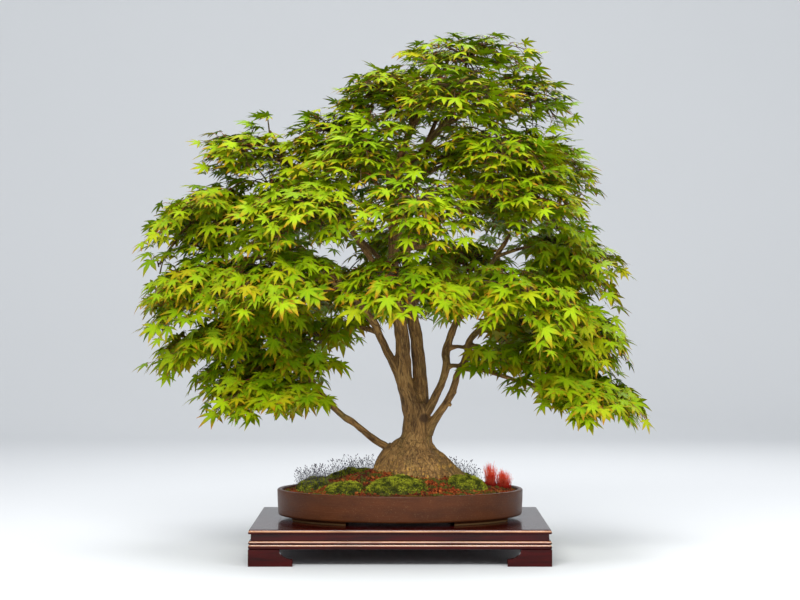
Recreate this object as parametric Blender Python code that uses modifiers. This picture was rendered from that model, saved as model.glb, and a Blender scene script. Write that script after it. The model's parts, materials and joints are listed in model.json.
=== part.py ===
"""Maple bonsai in a shallow oval pot on a low lacquered display stand.

Metres, +Z up. The stand's feet stand on Z = 0, and the front of the tree faces -Y. The whole group is
moved at the end so that the middle of its overall box stands over the origin.
"""

import math

import bmesh
import bpy
import numpy as np
from mathutils import Vector, noise

GAP = 0.0003  # clearance between pieces that touch

# Display stand
STAND_LENGTH = 0.506
STAND_DEPTH = 0.389
STAND_HEIGHT = 0.0615
TOP_THICKNESS = 0.0078
TOP_RAIL_WIDTH = 0.044
PANEL_LEDGE = 0.007  # the top rails carry the panel on a ledge this wide
PANEL_THICKNESS = 0.0045
WAIST_HEIGHT = 0.0110
WAIST_THICKNESS = 0.012
WAIST_SETBACK = 0.009
APRON_HEIGHT = 0.0145
APRON_THICKNESS = 0.016
LEG_HEIGHT = STAND_HEIGHT - TOP_THICKNESS - WAIST_HEIGHT - APRON_HEIGHT
LEG_THICKNESS = 0.014
LEG_WIDTH_TOP = 0.052
LEG_WIDTH_TOE = 0.074
LEG_TOE_HEIGHT = 0.0115

# Pot
POT_LENGTH = 0.430
POT_DEPTH = 0.330
POT_HEIGHT = 0.052
POT_WALL = 0.009
POT_FLOOR = 0.009
POT_FOOT_HEIGHT = 0.0065
POT_FOOT_WIDTH = 0.009
POT_FOOT_INSET = 0.013
POT_RIM_ROUND = 0.0030
POT_BASE_ROUND = 0.0060
FOOT_GAP_FRONT = 0.184
FOOT_GAP_SIDE = 0.120
DRAIN_RADIUS = 0.010
DRAIN_OFFSET = 0.105
POT_BOTTOM = STAND_HEIGHT + GAP
POT_RIM = POT_BOTTOM + POT_HEIGHT
POT_INSIDE_FLOOR = POT_BOTTOM + POT_FOOT_HEIGHT + POT_FLOOR

# Drainage screens and their clips
SCREEN_SIZE = 0.042
SCREEN_CELLS = 9
SCREEN_THICKNESS = 0.0012
CLIP_RADIUS = 0.0008
CLIP_LEG_REACH = 0.011

# Soil
SOIL_EDGE_DROP = 0.006  # below the pot's rim, at the wall
SOIL_CREST = (0.020, 0.020)  # the mound is highest here, behind the trunk's foot
SOIL_CREST_HEIGHT = 0.150
SOIL_LUMP = 0.0022
SOIL_CLEARANCE = 0.0012  # between the soil and the moss on it

# Foliage pads
PAD_THICKNESS = 0.026
PAD_SPACING = 0.010
PAD_LUMP = 0.004
CROWN_AXIS = (0.050, 0.0)

# Trunk
TRUNK_VOXEL = 0.0035
TRUNK_FACE_SHARE = 0.065
WOOD_CLEARANCE = 0.0030  # of the fatter tubes that clear room for the wood
SKIN_CLEARANCE = 0.0006

# Wood of the tree: each limb is a row of (x, y, z, radius) from its root to its tip.
LIMBS = {
    "trunk": [
        (0.030, 0.010, 0.088, 0.056), (0.030, 0.010, 0.135, 0.060), (0.029, 0.010, 0.155, 0.057),
        (0.027, 0.010, 0.170, 0.048), (0.026, 0.010, 0.184, 0.038), (0.029, 0.010, 0.199, 0.030),
        (0.030, 0.009, 0.217, 0.0265), (0.029, 0.008, 0.240, 0.024), (0.026, 0.008, 0.262, 0.021),
    ],
    "leader_left": [
        (0.026, 0.006, 0.235, 0.0195), (0.018, 0.004, 0.268, 0.0175), (0.008, 0.002, 0.303, 0.0148),
        (0.004, 0.000, 0.375, 0.0125), (-0.004, -0.004, 0.424, 0.0110), (-0.010, -0.006, 0.480, 0.0100),
        (-0.012, -0.004, 0.550, 0.0088), (-0.010, 0.000, 0.645, 0.0072), (0.010, 0.006, 0.720, 0.0062),
        (0.045, 0.004, 0.790, 0.0050), (0.080, 0.000, 0.850, 0.0040),
    ],
    "leader_right": [
        (0.032, 0.012, 0.235, 0.0185), (0.035, 0.014, 0.265, 0.0158), (0.035, 0.016, 0.303, 0.0130),
        (0.029, 0.020, 0.375, 0.0115), (0.020, 0.024, 0.424, 0.0105), (0.013, 0.026, 0.498, 0.0095),
        (0.009, 0.024, 0.568, 0.0085), (0.009, 0.022, 0.633, 0.0075), (0.040, 0.020, 0.705, 0.0065),
        (0.095, 0.012, 0.775, 0.0055), (0.135, 0.004, 0.842, 0.0042),
    ],
    "limb_left": [
        (0.010, 0.002, 0.280, 0.0110), (-0.004, 0.000, 0.314, 0.0080), (-0.024, 0.004, 0.356, 0.0074),
        (-0.038, 0.006, 0.387, 0.0070), (-0.047, 0.006, 0.405, 0.0068), (-0.080, 0.006, 0.447, 0.0062),
        (-0.115, 0.010, 0.482, 0.0058), (-0.157, 0.012, 0.520, 0.0054), (-0.201, 0.012, 0.558, 0.0050),
        (-0.255, 0.008, 0.610, 0.0044), (-0.300, 0.000, 0.640, 0.0040),
    ],
    "limb_shoulder": [
        (-0.010, -0.005, 0.470, 0.0070), (-0.034, -0.006, 0.492, 0.0060), (-0.066, -0.004, 0.538, 0.0056),
        (-0.120, 0.000, 0.618, 0.0050), (-0.165, 0.004, 0.668, 0.0045), (-0.215, 0.004, 0.690, 0.0040),
    ],
    "limb_inner_right": [
        (0.038, 0.006, 0.212, 0.0120), (0.042, 0.000, 0.233, 0.0098), (0.061, -0.006, 0.266, 0.0086),
        (0.075, -0.008, 0.301, 0.0083), (0.082, -0.006, 0.329, 0.0080), (0.080, -0.002, 0.349, 0.0078),
        (0.084, 0.000, 0.366, 0.0072), (0.098, 0.002, 0.402, 0.0064), (0.125, 0.010, 0.445, 0.0058),
        (0.160, 0.018, 0.505, 0.0050), (0.195, 0.024, 0.560, 0.0042),
    ],
    "limb_outer_right": [
        (0.042, 0.002, 0.203, 0.0130), (0.057, -0.004, 0.235, 0.0092), (0.075, -0.012, 0.263, 0.0074),
        (0.092, -0.016, 0.289, 0.0078), (0.101, -0.018, 0.314, 0.0066), (0.110, -0.018, 0.330, 0.0072),
        (0.118, -0.018, 0.351, 0.0068), (0.122, -0.016, 0.372, 0.0060), (0.150, -0.014, 0.402, 0.0056),
        (0.210, -0.010, 0.447, 0.0050), (0.262, -0.006, 0.480, 0.0045), (0.300, -0.004, 0.500, 0.0040),
    ],
    "limb_low_left": [
        (0.006, 0.010, 0.166, 0.0120), (-0.022, 0.006, 0.184, 0.0076), (-0.048, 0.002, 0.201, 0.0066),
        (-0.078, -0.002, 0.226, 0.0062), (-0.104, -0.006, 0.244, 0.0062), (-0.143, -0.006, 0.284, 0.0058),
        (-0.161, -0.004, 0.310, 0.0056), (-0.185, -0.002, 0.329, 0.0052), (-0.222, 0.000, 0.345, 0.0048),
        (-0.280, 0.006, 0.352, 0.0042), (-0.315, 0.008, 0.354, 0.0040),
    ],
    "fork_low_left": [
        (-0.140, -0.006, 0.280, 0.0052), (-0.175, -0.020, 0.284, 0.0046), (-0.225, -0.035, 0.280, 0.0040),
    ],
    "limb_low_right": [
        (0.112, -0.018, 0.324, 0.0056), (0.154, -0.022, 0.319, 0.0048), (0.212, -0.026, 0.300, 0.0045),
        (0.262, -0.028, 0.288, 0.0041), (0.300, -0.030, 0.280, 0.0040),
    ],
    "limb_middle_right": [
        (0.119, -0.016, 0.358, 0.0055), (0.133, -0.018, 0.363, 0.0048), (0.159, -0.022, 0.340, 0.0046),
        (0.177, -0.024, 0.332, 0.0045), (0.203, -0.026, 0.338, 0.0044), (0.240, -0.024, 0.350, 0.0042),
        (0.285, -0.020, 0.372, 0.0040),
    ],
    "cross_twig_low": [(0.081, -0.006, 0.325, 0.0050), (0.093, -0.012, 0.329, 0.0042),
                       (0.107, -0.018, 0.328, 0.0050)],
    "cross_twig_high": [(0.084, -0.001, 0.358, 0.0050), (0.100, -0.008, 0.362, 0.0040),
                        (0.119, -0.016, 0.360, 0.0050)],
}

# Surface roots: bearing in degrees from +X, reach from the trunk's middle, radius where each leaves it.
ROOTS = [(-8, 0.092, 0.016), (28, 0.080, 0.013), (64, 0.078, 0.014), (100, 0.074, 0.012),
         (140, 0.082, 0.015), (176, 0.084, 0.017), (208, 0.080, 0.014), (238, 0.074, 0.013),
         (268, 0.072, 0.015), (300, 0.078, 0.013), (330, 0.084, 0.014)]

# Foliage pads: middle of the top (x, y, z), half size outwards from the crown's axis, half size across,
# slope down outwards, droop at the rim, and the limb that feeds the pad with where on it its branch starts.
PADS = {
    "foliage_apex": (0.118, 0.000, 0.888, 0.105, 0.095, 0.00, 0.034, "leader_right", 0.96),
    "foliage_upper_left": (-0.035, 0.000, 0.832, 0.082, 0.098, 0.25, 0.030, "leader_left", 0.88),
    "foliage_upper_front": (0.092, -0.138, 0.815, 0.078, 0.098, 0.45, 0.030, "leader_left", 0.85),
    "foliage_upper_right": (0.228, 0.000, 0.818, 0.078, 0.098, 0.45, 0.030, "leader_right", 0.86),
    "foliage_upper_back": (0.092, 0.138, 0.815, 0.078, 0.098, 0.45, 0.030, "leader_right", 0.82),
    "foliage_shoulder_inner": (-0.122, 0.000, 0.757, 0.070, 0.092, 0.18, 0.030, "leader_left", 0.66),
    "foliage_high_front_left": (-0.062, -0.160, 0.735, 0.082, 0.095, 0.45, 0.030, "leader_left", 0.70),
    "foliage_high_front_right": (0.170, -0.168, 0.712, 0.080, 0.095, 0.50, 0.030, "leader_left", 0.74),
    "foliage_high_right": (0.272, 0.005, 0.712, 0.070, 0.105, 0.50, 0.030, "leader_right", 0.76),
    "foliage_high_back_left": (-0.062, 0.160, 0.735, 0.082, 0.095, 0.45, 0.030, "leader_right", 0.66),
    "foliage_high_back_right": (0.170, 0.172, 0.712, 0.080, 0.095, 0.50, 0.030, "leader_right", 0.72),
    "foliage_shoulder": (-0.268, -0.005, 0.722, 0.075, 0.110, 0.12, 0.030, "limb_shoulder", 0.90),
    "foliage_middle_front_left": (-0.175, -0.205, 0.640, 0.092, 0.108, 0.42, 0.030, "limb_shoulder", 0.45),
    "foliage_middle_front": (0.030, -0.252, 0.618, 0.082, 0.104, 0.50, 0.030, "leader_left", 0.56),
    "foliage_middle_front_right": (0.220, -0.172, 0.640, 0.078, 0.098, 0.40, 0.030, "leader_right", 0.56),
    "foliage_middle_back_left": (-0.175, 0.205, 0.640, 0.092, 0.108, 0.42, 0.030, "leader_left", 0.52),
    "foliage_middle_back_right": (0.215, 0.185, 0.632, 0.082, 0.110, 0.40, 0.030, "leader_right", 0.58),
    "foliage_far_left_upper": (-0.352, -0.010, 0.612, 0.078, 0.130, 0.35, 0.030, "limb_left", 0.93),
    "foliage_right_upper": (0.302, 0.015, 0.540, 0.090, 0.145, 0.20, 0.030, "limb_inner_right", 0.93),
    "foliage_far_left": (-0.360, -0.010, 0.485, 0.088, 0.145, 0.28, 0.030, "limb_left", 0.68),
    "foliage_low_front_left": (-0.205, -0.205, 0.500, 0.092, 0.112, 0.35, 0.030, "limb_left", 0.48),
    "foliage_low_front": (0.005, -0.245, 0.490, 0.080, 0.106, 0.40, 0.030, "leader_left", 0.42),
    "foliage_low_front_right": (0.198, -0.195, 0.470, 0.088, 0.106, 0.38, 0.030, "limb_inner_right", 0.72),
    "foliage_low_back_right": (0.130, 0.225, 0.480, 0.085, 0.120, 0.40, 0.030, "leader_right", 0.42),
    "foliage_low_back_left": (-0.115, 0.225, 0.480, 0.085, 0.120, 0.40, 0.030, "leader_left", 0.42),
    "foliage_right": (0.324, -0.010, 0.410, 0.085, 0.145, 0.22, 0.030, "limb_outer_right", 0.92),
    "foliage_low_left": (-0.330, -0.010, 0.385, 0.090, 0.135, 0.28, 0.030, "limb_low_left", 0.96),
    "foliage_bottom_left": (-0.242, -0.050, 0.295, 0.108, 0.115, 0.05, 0.034, "fork_low_left", 0.92),
    "foliage_bottom_right": (0.328, -0.030, 0.300, 0.092, 0.140, 0.30, 0.030, "limb_low_right", 0.93),
}

# Moss cushions: middle (x, y), half length, half width, height above the soil, turn in degrees.
MOSS = {
    "moss_cushion_front": (-0.005, -0.098, 0.052, 0.030, 0.016, 4),
    "moss_cushion_front_left": (-0.095, -0.088, 0.036, 0.026, 0.014, -12),
    "moss_cushion_left": (-0.152, -0.012, 0.030, 0.044, 0.014, 10),
    "moss_cushion_back_left": (-0.085, 0.080, 0.058, 0.030, 0.015, 14),
    "moss_cushion_back_right": (0.090, 0.098, 0.060, 0.026, 0.014, -12),
    "moss_cushion_right": (0.115, -0.055, 0.036, 0.028, 0.015, 18),
}
RED_MOSS = {
    "red_moss_tuft": (0.168, -0.002, 0.026, 0.020, 0.022, 20),
}

# Colour (linear), roughness and metallic value of each finish.
FINISHES = {
    "bark": ((0.190, 0.095, 0.038), 0.85, 0.0),
    "leaf": ((0.280, 0.480, 0.020), 0.55, 0.0),
    "akadama": ((0.300, 0.075, 0.020), 0.95, 0.0),
    "moss": ((0.090, 0.180, 0.020), 0.95, 0.0),
    "red_moss": ((0.550, 0.020, 0.010), 0.85, 0.0),
    "stoneware": ((0.075, 0.030, 0.012), 0.45, 0.0),
    "black_plastic": ((0.020, 0.020, 0.020), 0.60, 0.0),
    "aluminium_wire": ((0.550, 0.420, 0.300), 0.35, 1.0),
    "lacquer": ((0.085, 0.004, 0.004), 0.15, 0.0),
}


# ---------------------------------------------------------------- scene, materials and small helpers


def clear_scene():
    """Removes every object, so that the file starts empty."""
    for obj in list(bpy.data.objects):
        bpy.data.objects.remove(obj, do_unlink=True)


def new_collection(name, hidden=False):
    """A collection linked to the scene."""
    made = bpy.data.collections.new(name)
    made.hide_render = hidden
    bpy.context.scene.collection.children.link(made)
    return made


def make_materials():
    """One Principled material for each finish."""
    made = {}
    for name, (colour, roughness, metallic) in FINISHES.items():
        finish = bpy.data.materials.new(name)
        finish.use_nodes = True
        shader = finish.node_tree.nodes["Principled BSDF"]
        shader.inputs["Base Color"].default_value = (*colour, 1.0)
        shader.inputs["Roughness"].default_value = roughness
        shader.inputs["Metallic"].default_value = metallic
        finish.diffuse_color = (*colour, 1.0)
        made[name] = finish
    return made


def add_part(parts, name, data, finish, parent):
    """Links an object for data under the parent and gives it its finish."""
    obj = bpy.data.objects.new(name, data)
    parts.objects.link(obj)
    obj.parent = parent
    data.materials.clear()
    data.materials.append(finish)
    return obj


def mesh_of(obj):
    """The evaluated mesh of obj in its own space, with the loose caps of a curve welded on."""
    bpy.context.view_layer.update()
    evaluated = obj.evaluated_get(bpy.context.evaluated_depsgraph_get())
    mesh = bpy.data.meshes.new_from_object(evaluated)
    shape = bmesh.new()
    shape.from_mesh(mesh)
    bmesh.ops.remove_doubles(shape, verts=shape.verts, dist=1e-6)
    bmesh.ops.recalc_face_normals(shape, faces=shape.faces)
    shape.to_mesh(mesh)
    shape.free()
    return mesh


def mesh_from(shape, name):
    """Turns a finished bmesh into a mesh."""
    mesh = bpy.data.meshes.new(name)
    shape.to_mesh(mesh)
    shape.free()
    return mesh


def box_mesh(name, low, high):
    """A box between two corners."""
    shape = bmesh.new()
    bmesh.ops.create_cube(shape, size=1.0)
    size = [h - l for l, h in zip(low, high)]
    bmesh.ops.scale(shape, vec=size, verts=shape.verts)
    bmesh.ops.translate(shape, vec=[(l + h) / 2 for l, h in zip(low, high)], verts=shape.verts)
    return mesh_from(shape, name)


def prism_mesh(name, outline, length):
    """A flat outline in X and Y, extruded along Z to the full length about Z = 0."""
    curve = bpy.data.curves.new(name, "CURVE")
    curve.dimensions = "2D"
    curve.fill_mode = "BOTH"
    curve.extrude = length / 2
    spline = curve.splines.new("POLY")
    spline.points.add(len(outline) - 1)
    for point, (x, y) in zip(spline.points, outline):
        point.co = (x, y, 0.0, 1.0)
    spline.use_cyclic_u = True
    guide = bpy.data.objects.new(name, curve)
    bpy.context.scene.collection.objects.link(guide)
    mesh = mesh_of(guide)
    bpy.data.objects.remove(guide)
    return mesh


def arc(centre, radius, start, end, steps):
    """Points along an arc, angles in degrees."""
    angles = np.radians(np.linspace(start, end, steps))
    return [(centre[0] + radius * math.cos(a), centre[1] + radius * math.sin(a)) for a in angles]


def add_cutter(cutters, name, mesh, parent):
    """A solid that only cuts: shown as a wire and left out of renders."""
    obj = bpy.data.objects.new(name, mesh)
    cutters.objects.link(obj)
    obj.parent = parent
    obj.hide_render = True
    obj.display_type = "WIRE"
    return obj


def cut(obj, cutter, operation="DIFFERENCE"):
    """Adds an exact Boolean."""
    modifier = obj.modifiers.new(cutter.name, "BOOLEAN")
    modifier.operation = operation
    modifier.solver = "EXACT"
    modifier.object = cutter


def swell(obj, amount):
    """Moves every face outwards by the amount."""
    modifier = obj.modifiers.new("Clearance", "DISPLACE")
    modifier.mid_level = 0.0
    modifier.strength = amount


def turned(name, profile, steps):
    """A mesh with a Screw modifier's shape: the profile, in (radius, height), turned about Z."""
    mesh = bpy.data.meshes.new(name)
    points = [(r, 0.0, z) for r, z in profile]
    mesh.from_pydata(points, [(i, i + 1) for i in range(len(points) - 1)], [])
    guide = bpy.data.objects.new(name, mesh)
    bpy.context.scene.collection.objects.link(guide)
    screw = guide.modifiers.new("Screw", "SCREW")
    screw.steps = steps
    screw.render_steps = steps
    screw.use_merge_vertices = True
    screw.merge_threshold = 1e-5
    shape = mesh_of(guide)
    bpy.data.objects.remove(guide)
    return shape


def lump(x, y, z, size, seed=0.0):
    """Smooth noise between about -1 and 1, with features of the given size."""
    return noise.noise(Vector((x / size + seed, y / size - seed, z / size + 2.7 * seed)))


# ---------------------------------------------------------------- display stand


def mitred(mesh):
    """Slants both ends of a rail at 45 degrees: each point moves in by its distance from the outer face."""
    for vertex in mesh.vertices:
        vertex.co.x -= math.copysign(vertex.co.y, vertex.co.x)
    return mesh


def rail_mesh(name, section, length):
    """A mitred rail along X. The section is (distance in from the outer face, height)."""
    mesh = prism_mesh(name, section, length)
    for vertex in mesh.vertices:
        x, y, z = vertex.co
        vertex.co = (z, x, y)
    return mitred(mesh)


def add_rails(parts, name, section, setback, finish, parent):
    """Four mitred rails round the stand, their outer faces the setback in from its edge."""
    length, depth = STAND_LENGTH - 2 * setback, STAND_DEPTH - 2 * setback
    joint = GAP * math.sqrt(2)  # the mitres are this much shorter, so that the rails stay clear
    sides = (("front", length, -depth / 2, 0), ("right", depth, -length / 2, 90),
             ("back", length, -depth / 2, 180), ("left", depth, -length / 2, 270))
    for side, run, offset, turn in sides:
        rail = add_part(parts, f"{name}_{side}", rail_mesh(name, section, run - joint), finish, parent)
        angle = math.radians(turn)
        rail.rotation_euler.z = angle
        rail.location = (-offset * math.sin(angle), offset * math.cos(angle), 0.0)


def top_rail_section():
    """A rounded outer edge, and a ledge inside for the panel."""
    top, low = STAND_HEIGHT, STAND_HEIGHT - TOP_THICKNESS
    half = TOP_THICKNESS / 2
    ledge = top - PANEL_THICKNESS - GAP
    edge = arc((half, low + half), half, 270, 90, 9)
    return edge + [(TOP_RAIL_WIDTH, top), (TOP_RAIL_WIDTH, ledge),
                   (TOP_RAIL_WIDTH + PANEL_LEDGE, ledge), (TOP_RAIL_WIDTH + PANEL_LEDGE, low)]


def waist_section():
    """A plain bar below the top."""
    top = STAND_HEIGHT - TOP_THICKNESS - GAP
    low = top - WAIST_HEIGHT + GAP
    return [(0.0, low), (0.0, top), (WAIST_THICKNESS, top), (WAIST_THICKNESS, low)]


def apron_section():
    """Two half-round beads over a flat band."""
    top = STAND_HEIGHT - TOP_THICKNESS - WAIST_HEIGHT - GAP
    low = LEG_HEIGHT + GAP
    bead = 0.0019
    upper, lower = top - bead, top - 3 * bead - 0.0004
    back = [(APRON_THICKNESS, top), (APRON_THICKNESS, low), (0.0014, low)]
    band = [(0.0014, lower - bead)]
    beads = arc((bead, lower), bead, 260, 110, 6) + arc((bead, upper), bead, 250, 90, 6)
    return band + beads + back


def leg_outline():
    """One arm of a bracket leg: straight outside, a hollow curve inside that runs out into the toe."""
    run, rise = LEG_WIDTH_TOE - LEG_WIDTH_TOP, LEG_HEIGHT - 0.0015 - LEG_TOE_HEIGHT
    curve = [(LEG_WIDTH_TOE - run * math.sin(a), LEG_TOE_HEIGHT + rise * (1 - math.cos(a)))
             for a in np.linspace(0.0, math.pi / 2, 8)]
    return [(0.0, 0.0), (LEG_WIDTH_TOE, 0.0)] + curve + [(LEG_WIDTH_TOP, LEG_HEIGHT), (0.0, LEG_HEIGHT)]


def leg_mesh(cutters):
    """Two arms at a right angle, joined, with the outer corner at the origin and the arms along +X, +Y."""
    along_x = prism_mesh("leg_arm_x", leg_outline(), LEG_THICKNESS)
    along_y = along_x.copy()
    for vertex in along_x.vertices:
        x, y, z = vertex.co
        vertex.co = (x, z + LEG_THICKNESS / 2, y)
    for vertex in along_y.vertices:
        x, y, z = vertex.co
        vertex.co = (z + LEG_THICKNESS / 2, x, y)
    for mesh in (along_x, along_y):
        shape = bmesh.new()
        shape.from_mesh(mesh)
        bmesh.ops.recalc_face_normals(shape, faces=shape.faces)
        shape.to_mesh(mesh)
        shape.free()
    arm = add_cutter(cutters, "leg_arm_y", along_y, None)
    guide = bpy.data.objects.new("leg_guide", along_x)
    bpy.context.scene.collection.objects.link(guide)
    cut(guide, arm, "UNION")
    mesh = mesh_of(guide)
    for obj in (guide, arm):
        bpy.data.objects.remove(obj)
    return mesh


def build_stand(parts, cutters, finishes, parent):
    """Panel, top rails, waist, apron and four bracket legs."""
    lacquer = finishes["lacquer"]
    inner_x = STAND_LENGTH / 2 - TOP_RAIL_WIDTH - GAP
    inner_y = STAND_DEPTH / 2 - TOP_RAIL_WIDTH - GAP
    panel = box_mesh("stand_top_panel", (-inner_x, -inner_y, STAND_HEIGHT - PANEL_THICKNESS),
                     (inner_x, inner_y, STAND_HEIGHT))
    add_part(parts, "stand_top_panel", panel, lacquer, parent)
    add_rails(parts, "stand_top_rail", top_rail_section(), 0.0, lacquer, parent)
    add_rails(parts, "stand_waist", waist_section(), WAIST_SETBACK, lacquer, parent)
    add_rails(parts, "stand_apron", apron_section(), 0.0, lacquer, parent)
    leg = leg_mesh(cutters)
    corners = (("front_left", -1, -1, 0), ("front_right", 1, -1, 90),
               ("back_right", 1, 1, 180), ("back_left", -1, 1, 270))
    for corner, side_x, side_y, turn in corners:
        obj = add_part(parts, f"stand_leg_{corner}", leg.copy(), lacquer, parent)
        obj.location = (side_x * STAND_LENGTH / 2, side_y * STAND_DEPTH / 2, 0.0)
        obj.rotation_euler.z = math.radians(turn)


# ---------------------------------------------------------------- pot and drainage


def oval(mesh):
    """Narrows a turned mesh from a circle to the pot's oval."""
    for vertex in mesh.vertices:
        vertex.co.y *= POT_DEPTH / POT_LENGTH
    return mesh


def pot_profile():
    """From the middle of the inner floor, up the inside, over the rim and down to the foot ring."""
    outer, inner = POT_LENGTH / 2, POT_LENGTH / 2 - POT_WALL
    under = POT_BOTTOM + POT_FOOT_HEIGHT
    foot = outer - POT_FOOT_INSET
    inside = [(0.0, POT_INSIDE_FLOOR)] + arc((inner - 0.005, POT_INSIDE_FLOOR + 0.005), 0.005, 270, 360, 3)
    inside = inside + [(inner, POT_RIM - POT_RIM_ROUND)]
    rim = arc((inner + POT_RIM_ROUND, POT_RIM - POT_RIM_ROUND), POT_RIM_ROUND, 150, 90, 2)
    rim += arc((outer - POT_RIM_ROUND, POT_RIM - POT_RIM_ROUND), POT_RIM_ROUND, 90, 0, 4)[1:]
    base = arc((outer - 0.0015 - POT_BASE_ROUND, under + POT_BASE_ROUND), POT_BASE_ROUND, 0, -90, 4)
    feet = [(foot, under), (foot - 0.001, POT_BOTTOM), (foot - POT_FOOT_WIDTH, POT_BOTTOM),
            (foot - POT_FOOT_WIDTH - 0.001, under), (0.0, under)]
    return inside + rim + base + feet


def build_pot(parts, cutters, finishes, parent):
    """The oval pot, its foot ring cut into four feet and two drain holes bored through its floor."""
    pot = add_part(parts, "pot", oval(turned("pot", pot_profile(), 48)), finishes["stoneware"], parent)
    under = POT_BOTTOM + POT_FOOT_HEIGHT
    reach = POT_LENGTH
    for name, half_x, half_y in (("foot_gap_front", FOOT_GAP_FRONT / 2, reach),
                                 ("foot_gap_side", reach, FOOT_GAP_SIDE / 2)):
        low, high = (-half_x, -half_y, POT_BOTTOM - 0.01), (half_x, half_y, under + GAP)
        cut(pot, add_cutter(cutters, name, box_mesh(name, low, high), parent))
    for side in (-1, 1):
        shape = bmesh.new()
        bmesh.ops.create_cone(shape, cap_ends=True, segments=24, radius1=DRAIN_RADIUS,
                              radius2=DRAIN_RADIUS, depth=0.05)
        bmesh.ops.translate(shape, vec=(side * DRAIN_OFFSET, 0.0, under), verts=shape.verts)
        name = "drain_left" if side < 0 else "drain_right"
        cut(pot, add_cutter(cutters, name, mesh_from(shape, name), parent))


def build_drainage(parts, finishes, parent):
    """A square of coarse plastic mesh over each drain hole, held by a bent wire clip."""
    floor = POT_INSIDE_FLOOR + GAP
    under = POT_BOTTOM + POT_FOOT_HEIGHT
    cell = SCREEN_SIZE / SCREEN_CELLS
    for side, word in ((-1, "left"), (1, "right")):
        x = side * DRAIN_OFFSET
        shape = bmesh.new()
        bmesh.ops.create_grid(shape, x_segments=SCREEN_CELLS, y_segments=SCREEN_CELLS, size=SCREEN_SIZE / 2)
        holes = [f for f in shape.faces if all(is_odd_cell(c, cell) for c in f.calc_center_median()[:2])]
        bmesh.ops.delete(shape, geom=holes, context="FACES")
        screen = add_part(parts, f"drain_screen_{word}", mesh_from(shape, "drain_screen"),
                          finishes["black_plastic"], parent)
        screen.location = (x, 0.0, floor)
        solid = screen.modifiers.new("Solidify", "SOLIDIFY")
        solid.thickness = SCREEN_THICKNESS
        solid.offset = 1.0
        top = floor + SCREEN_THICKNESS + CLIP_RADIUS + GAP
        low = under - CLIP_RADIUS - GAP
        leg = cell  # the legs pass through the holes on either side of the middle bar
        route = [(-leg - CLIP_LEG_REACH, low), (-leg - 0.001, low), (-leg, low + 0.001), (-leg, top - 0.001),
                 (-leg + 0.001, top), (leg - 0.001, top), (leg, top - 0.001), (leg, low + 0.001),
                 (leg + 0.001, low), (leg + CLIP_LEG_REACH, low)]
        curve = tube_curve("drain_clip", [[(px, 0.0, pz, CLIP_RADIUS) for px, pz in route]])
        clip = add_part(parts, f"drain_clip_{word}", curve, finishes["aluminium_wire"], parent)
        clip.location = (x, cell, 0.0)


def is_odd_cell(coordinate, cell):
    """True in every second cell of a row of cells that is centred on zero."""
    return round(coordinate / cell + (SCREEN_CELLS - 1) / 2) % 2 == 1


# ---------------------------------------------------------------- trunk and branches


def tube_curve(name, routes):
    """Round tubes with filled caps, one for each route of (x, y, z, radius)."""
    curve = bpy.data.curves.new(name, "CURVE")
    curve.dimensions = "3D"
    curve.bevel_depth = 1.0
    curve.bevel_resolution = 2
    curve.use_fill_caps = True
    for route in routes:
        spline = curve.splines.new("POLY")
        spline.points.add(len(route) - 1)
        for point, (x, y, z, radius) in zip(spline.points, route):
            point.co = (x, y, z, 1.0)
            point.radius = radius
    return curve


def smooth_route(points, per_span=5):
    """A Catmull-Rom curve through rows of (x, y, z, radius)."""
    knots = np.asarray(points, float)
    knots = np.vstack([2 * knots[0] - knots[1], knots, 2 * knots[-1] - knots[-2]])
    t = np.linspace(0.0, 1.0, per_span, endpoint=False)[:, None]
    spans = []
    for a, b, c, d in zip(knots, knots[1:], knots[2:], knots[3:]):
        spans.append(0.5 * (2 * b + (c - a) * t + (2 * a - 5 * b + 4 * c - d) * t**2
                            + (3 * b - a - 3 * c + d) * t**3))
    return np.vstack(spans + [knots[-2][None]])


def root_routes():
    """Surface roots that spread from the flare and dive into the soil."""
    x, y = LIMBS["trunk"][0][:2]
    routes = []
    for bearing, reach, radius in ROOTS:
        out = Vector((math.cos(math.radians(bearing)), math.sin(math.radians(bearing)), 0.0))
        rows = [(0.30, 0.196, 0.55), (0.48, 0.176, 0.90), (0.72, 0.152, 1.0), (0.90, 0.136, 0.85),
                (1.10, 0.112, 0.55)]
        routes.append([(x + out.x * reach * share, y + out.y * reach * share, height, radius * thick)
                       for share, height, thick in rows])
    return routes


def branch_route(limb, share, tip):
    """A branch from a place along a limb to a pad: it leaves outwards, rises and levels out."""
    start = limb[int(share * (len(limb) - 1))]
    tip = np.asarray(tip)
    base = start[:3]
    span = tip - base
    rise = np.array([0.0, 0.0, 0.10 * np.linalg.norm(span)])
    radius = min(start[3] * 0.75, 0.0052)
    thin = max(radius * 0.75, 0.0038)
    return [(*base, radius), (*(base + 0.30 * span + 0.6 * rise), (radius + thin) / 2),
            (*(base + 0.68 * span + rise), thin), (*tip, thin)]


def build_trunk(parts, cutters, pads, finishes, parent):
    """All the wood as tubes fused into one skin. Returns two cutters that clear room for it:
    one from fatter tubes, and one that follows the skin itself closely."""
    limbs = {name: smooth_route(points) for name, points in LIMBS.items()}
    routes = list(limbs.values()) + [smooth_route(route) for route in root_routes()]
    for pad in pads:
        route = branch_route(limbs[pad["limb"]], pad["share"], pad_point(pad, 0.0, 0.0, -0.2))
        routes.append(smooth_route(route))
    skin = fused_skin(routes)
    add_part(parts, "trunk_and_branches", skin, finishes["bark"], parent)
    fat_routes = [route + np.array([0.0, 0.0, 0.0, WOOD_CLEARANCE]) for route in routes]
    fat = add_cutter(cutters, "wood_room_wide", fused_skin(fat_routes), parent)
    close = add_cutter(cutters, "wood_room_close", skin.copy(), parent)
    swell(close, SKIN_CLEARANCE)
    return fat, close


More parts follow.
